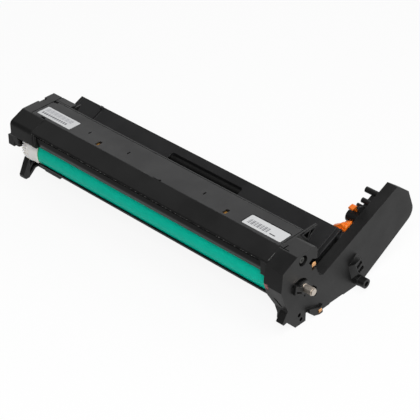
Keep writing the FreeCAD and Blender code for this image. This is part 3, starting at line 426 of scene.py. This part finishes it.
finishes = {
    frame_abs: ("main_frame", "front_cover", "arm_inner_cover"),
    deck_abs: ("rear_deck", "deck_end_cover"),
    cover_abs: ("top_cover",),
    cap_abs: ("left_end_cap", "right_end_cap"),
    grip_abs: ("grip_bar",),
    lever_abs: ("lock_lever",),
    shield_abs: ("front_shield",),
    guard_abs: ("lower_guard",),
    drum_coat: ("opc_drum",),
    flange_acetal: ("drum_flange_left", "drum_flange_right", "charge_bearing_left", "charge_bearing_right"),
    gear_acetal: ("idler_gear_1", "idler_gear_2", "idler_gear_3", "output_coupling", "auger_gear"),
    gear_black: ("drum_gear",),
    bush_acetal: ("shaft_bush_left", "shaft_bush_right", "waste_auger"),
    shaft_steel: ("drum_shaft", "charge_roller_core"),
    screw_steel: ("screws",),
    bracket_steel: ("blade_bracket", "ground_clip", "charge_spring_left", "charge_spring_right"),
    contact_copper: ("upper_contact", "lower_contact"),
    strip_brass: ("brass_strip",),
    roller_rubber: ("charge_roller",),
    blade_urethane: ("cleaning_blade",),
    seal_film: ("drum_seal",),
    edge_felt: ("end_seal",),
}
for finish, names in finishes.items():
    for name in names:
        solid = nodes[name].data
        solid.materials.clear()
        solid.materials.append(finish)


# Outlines and meshes, in millimetres

def rectangle(x0, x1, y0, y1):
    """Corners of a rectangle, anticlockwise."""
    return [(x0, y0), (x1, y0), (x1, y1), (x0, y1)]


def rounded_outline(x0, x1, y0, y1, radius, steps=6):
    """Corners of a rounded rectangle, anticlockwise."""
    points = []
    for cx, cy, start in ((x1 - radius, y1 - radius, 0), (x0 + radius, y1 - radius, 90),
                          (x0 + radius, y0 + radius, 180), (x1 - radius, y0 + radius, 270)):
        for i in range(steps + 1):
            angle = math.radians(start + 90 * i / steps)
            points.append((cx + radius * math.cos(angle), cy + radius * math.sin(angle)))
    return points


def circle(cx, cy, radius, steps=20):
    """Corners of a circle drawn in straight steps, anticlockwise."""
    points = []
    for i in range(steps):
        angle = 2 * math.pi * i / steps
        points.append((cx + radius * math.cos(angle), cy + radius * math.sin(angle)))
    return points


def plate(outline, holes, z0, z1, soft=0.15):
    """Mesh of a flat plate with holes, whose edges are rounded by the soft radius."""
    curve = bpy.data.curves.new("outline", "CURVE")
    curve.dimensions = "2D"
    curve.fill_mode = "BOTH"
    curve.extrude = max((z1 - z0) / 2 - soft, 0) * MM
    curve.bevel_depth = soft * MM
    curve.bevel_resolution = 1
    curve.offset = -soft * MM
    for points in [outline] + holes:
        spline = curve.splines.new("POLY")
        spline.points.add(len(points) - 1)
        for point, (x, y) in zip(spline.points, points):
            point.co = (x * MM, y * MM, 0, 1)
        spline.use_cyclic_u = True
    source = bpy.data.objects.new("outline", curve)
    mesh = bpy.data.meshes.new_from_object(source)
    mesh.transform(Matrix.Translation((0, 0, (z0 + z1) / 2 * MM)))
    bpy.data.objects.remove(source)
    bpy.data.curves.remove(curve)
    mesh.materials.clear()
    return mesh


def sideways(outline, x0, x1, soft=0.1, holes=()):
    """Mesh of a plate whose outline is given in Y and Z and whose thickness runs along X."""
    turn_axes = Matrix(((0, 0, 1, 0), (1, 0, 0, 0), (0, 1, 0, 0), (0, 0, 0, 1)))
    mesh = plate(outline, list(holes), x0, x1, soft)
    mesh.transform(turn_axes)
    return mesh


def frontways(outline, y0, y1, soft=0.1):
    """Mesh of a plate whose outline is given in X and Z and whose thickness runs along Y."""
    mesh = plate([(x, -z) for x, z in reversed(outline)], [], y0, y1, soft)
    mesh.transform(Matrix.Rotation(math.radians(-90), 4, "X"))
    return mesh


def joined(name, meshes):
    """One mesh made of several, without their materials."""
    same_point = 1e-7
    shape = bmesh.new()
    for mesh in meshes:
        shape.from_mesh(mesh)
        bpy.data.meshes.remove(mesh)
    bmesh.ops.remove_doubles(shape, verts=shape.verts, dist=same_point)
    result = bpy.data.meshes.new(name)
    shape.to_mesh(result)
    shape.free()
    return result


def piece(name, mesh, finish, body):
    """An object of the mesh in its finish, riding on its body."""
    obj = bpy.data.objects.new(name, mesh)
    bpy.context.scene.collection.objects.link(obj)
    mesh.materials.append(finish)
    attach(obj, body)
    return obj


# Top cover and its labels

COVER_SKIN = 1.0
COVER_REAR = 19.2
COVER_RIM = 1.2
COVER_GROOVE = 0.35
COVER_END_GAP = 0.6
CORNER_NOTCH_LENGTH = 4.0
CORNER_NOTCH_DEPTH = 2.4
STRIP_END = -254.0
# Front edge from left to right: X, and how deep the edge is cut there.
FRONT_EDGE = ((-260.2, 0), (-260.2, 1.4), (-255.8, 1.4), (-255.8, 0), (-139.0, 0), (-139.0, 0.8),
              (-133.0, 0.8), (-133.0, 1.5), (-131.2, 1.5), (-131.2, 0))
# Painted shade on the floors of the front notches: X from and to, and depth.
NOTCH_FLOORS = ((-260.1, -255.9, 1.3), (-138.9, -133.0, 0.7), (-133.0, -131.3, 1.4))
FLOOR_LEVEL = 0.5
FLOOR_THICKNESS = 0.05
SLOT_CENTRES = (-200.2, -71.3)
SLOT_HALF = 1.5
SLOT_SPAN = (-3.9, 1.4)
WELL_HALF = 4.5
WELL_SPAN = (-4.9, 5.5)
SLOT_ROUND = 0.7
HOLE_CENTRES = ((-215.9, 4.3), (-174.5, 4.7), (-97.5, 4.6))
HOLE_HALF_WIDTH = 0.65
HOLE_HALF_LENGTH = 1.7
HOLE_ROUND = 0.6
# Radius of the disc of painted shade under each oval hole.
HOLE_FLOOR_RADIUS = 1.5
LABEL_LEFT = (-266.6, -230.4, -3.5, 8.4)
LABEL_LEFT_ROUND = 0.6
LABEL_RIGHT = (-55.5, -20.2, -2.9, 8.9)
LABEL_RIGHT_ROUND = 1.2
RECESS_MARGIN = 0.5
RECESS_ROUND = 1.4
RECESS_DEPTH = 0.4
PAPER_THICKNESS = 0.12
INK_THICKNESS = 0.03
INK_SUNK = 0.01

cover_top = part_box("top_cover")[1][2] / MM


def top_cover():
    """Flat cover: slots over the brass strip, small oval holes, front notches, label recess and a rear rim.

    It ends at its seam, and only its left end reaches further back over the deck's end cover.
    """
    low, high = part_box("top_cover")
    x0, x1 = low[0] / MM + COVER_END_GAP, high[0] / MM - COVER_END_GAP
    front, bottom = low[1] / MM, low[2] / MM
    rim_front = COVER_REAR - COVER_RIM
    rear = rim_front - COVER_GROOVE
    corner_x, corner_y = x0 + CORNER_NOTCH_LENGTH, rear - CORNER_NOTCH_DEPTH
    outline = [(x0, front)]
    outline += [(x, front + depth) for x, depth in FRONT_EDGE]
    outline += [(x1, front), (x1, rear), (corner_x, rear), (corner_x, corner_y), (x0, corner_y)]
    slots = [rounded_outline(x - SLOT_HALF, x + SLOT_HALF, *SLOT_SPAN, SLOT_ROUND) for x in SLOT_CENTRES]
    wells = [rounded_outline(x - WELL_HALF, x + WELL_HALF, *WELL_SPAN, SLOT_ROUND) for x in SLOT_CENTRES]
    holes = []
    for x, y in HOLE_CENTRES:
        hole = (x - HOLE_HALF_WIDTH, x + HOLE_HALF_WIDTH, y - HOLE_HALF_LENGTH, y + HOLE_HALF_LENGTH)
        holes.append(rounded_outline(*hole, HOLE_ROUND))
    left, right, near, far = LABEL_RIGHT
    around = (left - RECESS_MARGIN, right + RECESS_MARGIN, near - RECESS_MARGIN, far + RECESS_MARGIN)
    recess = rounded_outline(*around, RECESS_ROUND)
    recess_floor = cover_top - RECESS_DEPTH
    skin_floor = cover_top - COVER_SKIN
    overlap = 0.001
    meshes = [
        plate(outline, slots + holes + [recess], recess_floor, cover_top),
        plate(outline, slots + holes, skin_floor, recess_floor + overlap, soft=0.0),
        plate(rectangle(x0, x1, front, COVER_REAR), wells + holes, bottom, skin_floor, soft=0.0),
        plate(rectangle(x0, x1, rim_front, COVER_REAR), [], skin_floor, cover_top),
        plate(rectangle(x0, STRIP_END, COVER_REAR + COVER_GROOVE, high[1] / MM), [], bottom, cover_top),
    ]
    obj = piece("top_cover_plate", joined("top_cover_plate", meshes), cover_abs, "housing")
    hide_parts("top_cover")
    # Thin near-black sheets of painted shade on the floors of the front notches, the end gap and the oval
    # holes, where only shade shows.
    dark = [rectangle(from_x, to_x, front, front + depth) for from_x, to_x, depth in NOTCH_FLOORS]
    dark.append(rectangle(x0 - COVER_END_GAP, x0, front, corner_y))
    dark += [circle(x, y, HOLE_FLOOR_RADIUS) for x, y in HOLE_CENTRES]
    floor_low = cover_top - FLOOR_LEVEL
    floors = [plate(shape, [], floor_low, floor_low + FLOOR_THICKNESS, soft=0.0) for shape in dark]
    piece("cover_recess_shade", joined("cover_recess_shade", floors), unlit_abs, "housing")


def label(name, area, z, radius, bars):
    """Coated paper label with plain printed bars that say nothing.

    The bars of each ink are given from the label's front left corner.
    """
    left, right, near, far = area
    sheet = plate(rounded_outline(left, right, near, far, radius), [], z, z + PAPER_THICKNESS, soft=0.02)
    piece(name, sheet, paper, "housing")
    ink_low = z + PAPER_THICKNESS - INK_SUNK
    for ink, rows in bars.items():
        meshes = []
        for x0, x1, y0, y1 in rows:
            bar = rectangle(left + x0, left + x1, near + y0, near + y1)
            meshes.append(plate(bar, [], ink_low, ink_low + INK_THICKNESS, soft=0.0))
        piece(name + "_" + ink.name, joined(name, meshes), ink, "housing")


def stripes(x0, x1, y0, y1, widths):
    """Printed stripes side by side whose widths and gaps follow each other in turn."""
    gap_share = 1.2
    rows = []
    x = x0
    i = 0
    while x < x1:
        width = widths[i % len(widths)]
        rows.append((x, min(x + width, x1), y0, y1))
        x += width + widths[(i + 2) % len(widths)] * gap_share
        i += 1
    return rows


def label_right():
    """Label in the cover's recess: a block of grey stripes and one black bar."""
    black_bar = (23.3, 28.3, 2.4, 3.4)
    label("label_right", LABEL_RIGHT, cover_top - RECESS_DEPTH, LABEL_RIGHT_ROUND, {
        print_grey: stripes(x0=3.0, x1=21.0, y0=2.2, y1=7.4, widths=(0.35, 0.7, 0.5, 0.9)),
        print_black: [black_bar],
    })


def label_left():
    """Label on the cover's skin: a block of pale stripes behind a row of grey dashes."""
    first_dash = 2.5
    dash_length = 1.5
    dash_step = 2.3
    dash_count = 12
    dash_span = (2.4, 4.6)
    starts = [first_dash + dash_step * i for i in range(dash_count)]
    label("label_left", LABEL_LEFT, cover_top, LABEL_LEFT_ROUND, {
        print_pale: stripes(x0=2.5, x1=31.2, y0=6.0, y1=10.3, widths=(0.5, 0.8, 0.6)),
        print_grey: [(x, x + dash_length, *dash_span) for x in starts],
    })


# Front cover's lower edge

EDGE_LEFT_INSET = 1.0
EDGE_RIGHT_INSET = 8.0
FLASH_Y = -20.45
FLASH_Z = 22.3
FLASH_RADIUS = 0.22
FLASH_SIDES = 6
# Outline in Y and Z of the strip of painted shade under the lower edge.
EDGE_GAP = [(-20.35, 22.0), (-20.05, 20.9), (-19.5, 20.9), (-19.5, 22.0)]


def edge_ends():
    """X of the left and right ends of the front cover's lower edge."""
    low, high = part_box("front_cover")
    return low[0] / MM + EDGE_LEFT_INSET, high[0] / MM - EDGE_RIGHT_INSET


def seam_flash():
    """Fine flash along the front cover's lower edge, where the mould's halves met; its sparkle is painted
    glints in its colour.
    """
    shape = bmesh.new()
    rings = []
    for x in edge_ends():
        ring = []
        for y, z in circle(FLASH_Y, FLASH_Z, FLASH_RADIUS, FLASH_SIDES):
            ring.append(shape.verts.new((x * MM, y * MM, z * MM)))
        rings.append(ring)
    for i in range(FLASH_SIDES):
        j = (i + 1) % FLASH_SIDES
        shape.faces.new((rings[0][i], rings[0][j], rings[1][j], rings[1][i]))
    shape.faces.new(rings[0][::-1])
    shape.faces.new(rings[1])
    bmesh.ops.recalc_face_normals(shape, faces=shape.faces)
    mesh = bpy.data.meshes.new("seam_flash")
    shape.to_mesh(mesh)
    shape.free()
    piece("seam_flash", mesh, glinting_flash_abs, "housing")


def cover_gap_shade():
    """Near-black strip of painted shade under the front cover's lower edge, where a gap's shadow falls."""
    piece("cover_gap_shade", sideways(EDGE_GAP, *edge_ends()), unlit_abs, "housing")


# Rear deck

DECK_FRONT_Y = 20.0
DECK_FRONT_Z = -0.5
DECK_SLOPE = math.radians(23.5)
DECK_REAR = 53.4
RIB_FRONT = 22.0
RIB_ROOT = 0.3
OUTER_RIB = (-12.6, -11.8)
INNER_RIB = (-16.3, -15.6)
JOINT_RIB = (-256.6, -253.9)
JOINT_RIB_LENGTH = 2.2
JOINT = (-254.5, -253.9)
JOINT_FRONT = 23.0
WEB = (-12.2, -9.05)
WEB_FRONT = 48.0
WEB_FRONT_FOOT = 5.0
WEB_REAR_FOOT = 7.0
WEB_UNDER_DECK = 0.4


def deck_line(y):
    """Height of the sloping deck's upper face."""
    return DECK_FRONT_Z + (y - DECK_FRONT_Y) * math.tan(DECK_SLOPE)


def deck_rib(x0, x1, y0, y1, height):
    """Low rib that lies on the deck and follows its slope."""
    front, rear = deck_line(y0), deck_line(y1)
    outline = [(y0, front - RIB_ROOT), (y1, rear - RIB_ROOT), (y1, rear + height), (y0, front + height)]
    return sideways(outline, x0, x1)


def deck_ribs():
    """Ribs of the deck: two beside the gear arm, one over the end cover's joint, and the corner's web."""
    web = [
        (WEB_FRONT, WEB_FRONT_FOOT), (DECK_REAR, WEB_REAR_FOOT),
        (DECK_REAR, deck_line(DECK_REAR) - WEB_UNDER_DECK),
        (WEB_FRONT, deck_line(WEB_FRONT) - WEB_UNDER_DECK),
    ]
    meshes = [
        deck_rib(*OUTER_RIB, RIB_FRONT, DECK_REAR, height=1.0),
        deck_rib(*INNER_RIB, RIB_FRONT, DECK_REAR, height=0.6),
        deck_rib(*JOINT_RIB, DECK_REAR - JOINT_RIB_LENGTH, DECK_REAR, height=0.9),
        sideways(web, *WEB),
    ]
    piece("deck_ribs", joined("deck_ribs", meshes), deck_abs, "housing")
    # Near-black strip of painted shade along the end cover's joint, where a groove's shadow falls.
    seam = deck_rib(*JOINT, JOINT_FRONT, DECK_REAR, height=0.06)
    piece("deck_joint_shade", seam, unlit_abs, "housing")


# Drive end: fin, plate and contacts

FIN_FACE = -16.0
FIN_RIM = [(13.0, 28.9), (20.9, 19.7), (30.2, 28.9)]
FIN_RIM_WIDTH = 1.0
FIN_HOLLOW = [(15.6, 27.7), (21.0, 21.4), (27.4, 27.7)]
FIN_BRACE = [(20.2, 22.0), (21.2, 21.4), (24.2, 27.8), (23.2, 27.8)]
FIN_BRACE_WIDTH = 0.6
HOLLOW_FLOOR = (FIN_FACE - 0.02, FIN_FACE + 0.06)
PLATE_HOLES = ((-3.7, -22.3), (-1.7, -26.8))
PLATE_HOLE_RADIUS = 1.5
PLATE_SLOTS = (
    [(7.4, -3.2), (8.8, -5.7), (13.6, -8.9), (13.7, -7.2)],
    [(10.5, -13.3), (12.8, -14.6), (14.3, -13.4), (13.5, -11.9)],
    [(4.2, 17.6), (6.6, 14.6), (7.9, 15.4), (8.3, 16.4), (12.2, 15.4), (12.2, 17.2), (7.9, 19.6)],
)
PLATE_INLAY = (-0.02, 0.05)
LEAF_THICKNESS = 0.35
LEAF_STEPS = 8
CARRIER_FACE = (8.5, 12.8, 9.8, 13.6)
CARRIER_DEPTH = (-5.0, -2.1)


def fin_pocket_shade():
    """Rim on the drive end's fin, and a thin near-black sheet of painted shade inside it, where the mould
    cores out a pocket.
    """
    meshes = [
        sideways(FIN_RIM, FIN_FACE, FIN_FACE + FIN_RIM_WIDTH, holes=[FIN_HOLLOW]),
        sideways(FIN_BRACE, FIN_FACE, FIN_FACE + FIN_BRACE_WIDTH),
    ]
    piece("fin_rim", joined("fin_rim", meshes), frame_abs, "housing")
    # Painted shade: a near-black sheet on the fin's face inside the rim.
    piece("fin_pocket_shade", sideways(FIN_HOLLOW, *HOLLOW_FLOOR, soft=0.02), unlit_abs, "housing")


def plate_opening_shade():
    """Small openings of the drive end's plate, drawn as thin inlays of painted shade: two round ones and
    three slots.
    """
    outlines = [circle(y, z, PLATE_HOLE_RADIUS) for y, z in PLATE_HOLES]
    outlines += PLATE_SLOTS
    meshes = [sideways(outline, *PLATE_INLAY, soft=0.01) for outline in outlines]
    piece("plate_opening_shade", joined("plate_opening_shade", meshes), unlit_abs, "housing")


def leaf(x, y0, y1, z0, z1, bulge):
    """Metal leaf bent outward between its ends, as an arch seen from the side."""
    outer = []
    inner = []
    for i in range(LEAF_STEPS + 1):
        share = i / LEAF_STEPS
        face = x + bulge * math.sin(math.pi * share)
        z = z0 + (z1 - z0) * share
        outer.append((face, z))
        inner.append((face - LEAF_THICKNESS, z))
    return frontways(outer + inner[::-1], y0, y1, soft=0.05)


def contacts():
    """Copper contact leaves, the upper one on a carrier block drawn in painted shade; they touch the
    machine's springs.
    """
    upper_leaf = leaf(x=-1.6, y0=8.6, y1=12.7, z0=9.9, z1=14.4, bulge=0.9)
    lower_leaf = leaf(x=2.45, y0=14.0, y1=17.3, z0=-29.5, z1=-26.4, bulge=0.6)
    carrier = sideways(rectangle(*CARRIER_FACE), *CARRIER_DEPTH)
    upper = piece("upper_contact_leaf", upper_leaf, contact_copper, "housing")
    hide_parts("upper_contact")
    # The carrier is drawn in painted shade, near black and without gloss.
    piece("upper_contact_carrier", carrier, unlit_abs, "housing")
    lower = piece("lower_contact_leaf", lower_leaf, contact_copper, "housing")
    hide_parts("lower_contact")


# Lever and arm

TONGUE = [(-23.0, 10.3), (-10.7, 10.3), (-10.7, 17.4), (-12.4, 15.4), (-14.0, 16.6), (-15.2, 16.6),
          (-17.8, 14.4), (-22.6, 11.3)]
TONGUE_DEPTH = (55.8, 59.4)
HEEL = [(-15.6, 10.3), (-10.7, 10.3), (-10.7, 17.2), (-15.6, 15.6)]
HEEL_DEPTH = (59.0, 63.4)
ARM_WEB = [(66.6, 28.0), (68.2, 21.7), (70.5, 20.2), (74.3, 18.8), (75.0, 24.6)]
ARM_WEB_WIDTH = (-10.4, -8.95)


def lever_tongue():
    """Front tongue of the lever, which reaches behind the deck's rear edge, and the heel that holds it."""
    meshes = [frontways(TONGUE, *TONGUE_DEPTH, soft=0.2), frontways(HEEL, *HEEL_DEPTH, soft=0.2)]
    piece("lever_tongue", joined("lever_tongue", meshes), lever_abs, "lever")


def arm_web():
    """Web on the gear case's inner cover, behind the lever's tab."""
    piece("arm_web", sideways(ARM_WEB, *ARM_WEB_WIDTH), frame_abs, "housing")


for make in (top_cover, label_right, label_left, seam_flash, deck_ribs, fin_pocket_shade, plate_opening_shade,
             contacts, lever_tongue, arm_web, cover_gap_shade):
    make()


# Floor, light and camera, in metres and degrees

FLOOR_REACH = 6.0
FLOOR_WHITE = 0.9
# Painted reflection on the floor for glossy rays: Y where it begins, the width of its fade, and its strength
# in front and behind.
REFLECTION_FRONT = -0.10
REFLECTION_FADE = 0.085
REFLECTION_NEAR = 0.22
REFLECTION_FAR = 0.72


def floor():
    """Plain pale floor that is nearly all white to the camera and keeps a faint soft shadow.

    In reflections it glows as a painted reflection, dim in front of the part and brighter below and behind
    it.
    """
    z = cad_box[0][2]
    corners = [(x, y, z) for x, y in rectangle(-FLOOR_REACH, FLOOR_REACH, -FLOOR_REACH, FLOOR_REACH)]
    mesh = bpy.data.meshes.new("floor")
    mesh.from_pydata(corners, [], [(0, 1, 2, 3)])
    obj = bpy.data.objects.new("floor", mesh)
    bpy.context.scene.collection.objects.link(obj)
    material, tree = blank("floor_paper")
    matt = add(tree, "ShaderNodeBsdfDiffuse", {"Color": linear("F4F4F4")})
    white = add(tree, "ShaderNodeEmission", {"Color": linear("FFFFFF"), "Strength": 1.0})
    path = add(tree, "ShaderNodeLightPath")
    across = add(tree, "ShaderNodeSeparateXYZ", {"Vector": add(tree, "ShaderNodeTexCoord").outputs["Object"]})
    # Painted reflection: the floor glows for glossy rays, dim in front of the part and brighter behind it.
    reflection_glow = add(tree, "ShaderNodeMapRange", {
        "Value": across.outputs["Y"], "From Min": REFLECTION_FRONT, "From Max": REFLECTION_FRONT + REFLECTION_FADE,
        "To Min": REFLECTION_NEAR, "To Max": REFLECTION_FAR,
    })
    mirrored = add(tree, "ShaderNodeEmission", {"Color": linear("FFFFFF"), "Strength": reflection_glow.outputs[0]})
    to_camera = add(tree, "ShaderNodeMath", {
        0: path.outputs["Is Camera Ray"], 1: FLOOR_WHITE,
    }, operation="MULTIPLY")
    seen = add(tree, "ShaderNodeMixShader", {
        0: to_camera.outputs[0], 1: matt.outputs[0], 2: white.outputs[0],
    })
    in_gloss = add(tree, "ShaderNodeMath", {
        0: path.outputs["Is Glossy Ray"], 1: path.outputs["Is Transmission Ray"],
    }, operation="MAXIMUM")
    mixed = add(tree, "ShaderNodeMixShader", {
        0: in_gloss.outputs[0], 1: seen.outputs[0], 2: mirrored.outputs[0],
    })
    add(tree, "ShaderNodeOutputMaterial", {"Surface": mixed.outputs[0]})
    mesh.materials.append(material)


WALL_TOP = 38
CEILING = 56
# Y of the directions in which the dark front of the room ends and its white back begins.
FRONT_ENDS = -0.25
BACK_BEGINS = 0.35
FRONT_LIGHT = 0.06
ROOM_LIGHT = 0.05


def studio_world():
    """White sweep behind the object up to the wall's top, in a room whose front and ceiling are dark."""
    world = bpy.data.worlds.new("studio")
    bpy.context.scene.world = world
    world.use_nodes = True
    tree = world.node_tree
    tree.nodes.clear()
    direction = add(tree, "ShaderNodeTexCoord").outputs["Generated"]
    parts = add(tree, "ShaderNodeSeparateXYZ", {"Vector": direction})
    sweep = add(tree, "ShaderNodeMapRange", {
        "Value": parts.outputs["Z"],
        "From Min": math.sin(math.radians(WALL_TOP)), "From Max": math.sin(math.radians(CEILING)),
        "To Min": 1.0, "To Max": 0.0,
    }, interpolation_type="SMOOTHSTEP")
    behind = add(tree, "ShaderNodeMapRange", {
        "Value": parts.outputs["Y"], "From Min": FRONT_ENDS, "From Max": BACK_BEGINS,
        "To Min": FRONT_LIGHT, "To Max": 1.0,
    }, interpolation_type="SMOOTHSTEP")
    lit = add(tree, "ShaderNodeMath", {0: sweep.outputs[0], 1: behind.outputs[0]}, operation="MULTIPLY")
    strength = add(tree, "ShaderNodeMath", {0: lit.outputs[0], 1: ROOM_LIGHT}, operation="ADD")
    room = add(tree, "ShaderNodeBackground", {"Color": linear("FFFFFF"), "Strength": strength.outputs[0]})
    white = add(tree, "ShaderNodeBackground", {"Color": linear("FFFFFF"), "Strength": 1.0})
    path = add(tree, "ShaderNodeLightPath")
    mixed = add(tree, "ShaderNodeMixShader", {
        0: path.outputs["Is Camera Ray"], 1: room.outputs[0], 2: white.outputs[0],
    })
    add(tree, "ShaderNodeOutputWorld", {"Surface": mixed.outputs[0]})


PART_MIDDLE = (-0.13, 0.02, 0.0)


def softbox(name, place, size, power):
    """Square soft lamp that faces the middle of the part."""
    lamp = bpy.data.lights.new(name, "AREA")
    lamp.shape = "SQUARE"
    lamp.size = size
    lamp.energy = power
    obj = bpy.data.objects.new(name, lamp)
    bpy.context.scene.collection.objects.link(obj)
    obj.location = place
    obj.rotation_euler = (Vector(PART_MIDDLE) - Vector(place)).to_track_quat("-Z", "Y").to_euler()


CAMERA_PLACE = (0.524675, -0.643460, 0.631693)
CAMERA_DOWN = 34.4785
CAMERA_TURN = 43.5876
CAMERA_LENS_MM = 131.73
CAMERA_SENSOR_MM = 36.0
CAMERA_REACH = 20.0


def camera():
    """The photograph's view: from the front right and above, with a long lens."""
    lens = bpy.data.cameras.new("camera")
    lens.lens = CAMERA_LENS_MM
    lens.sensor_width = CAMERA_SENSOR_MM
    lens.clip_end = CAMERA_REACH
    obj = bpy.data.objects.new("camera", lens)
    bpy.context.scene.collection.objects.link(obj)
    obj.location = CAMERA_PLACE
    obj.rotation_euler = (math.radians(90 - CAMERA_DOWN), 0, math.radians(CAMERA_TURN))
    bpy.context.scene.camera = obj


floor()
studio_world()
softbox("key_softbox", place=(0.55, -0.75, 1.0), size=0.8, power=13.0)
softbox("top_softbox", place=(0.35, 0.1, 1.3), size=0.7, power=5.5)
camera()
bpy.context.scene.view_settings.view_transform = "Standard"
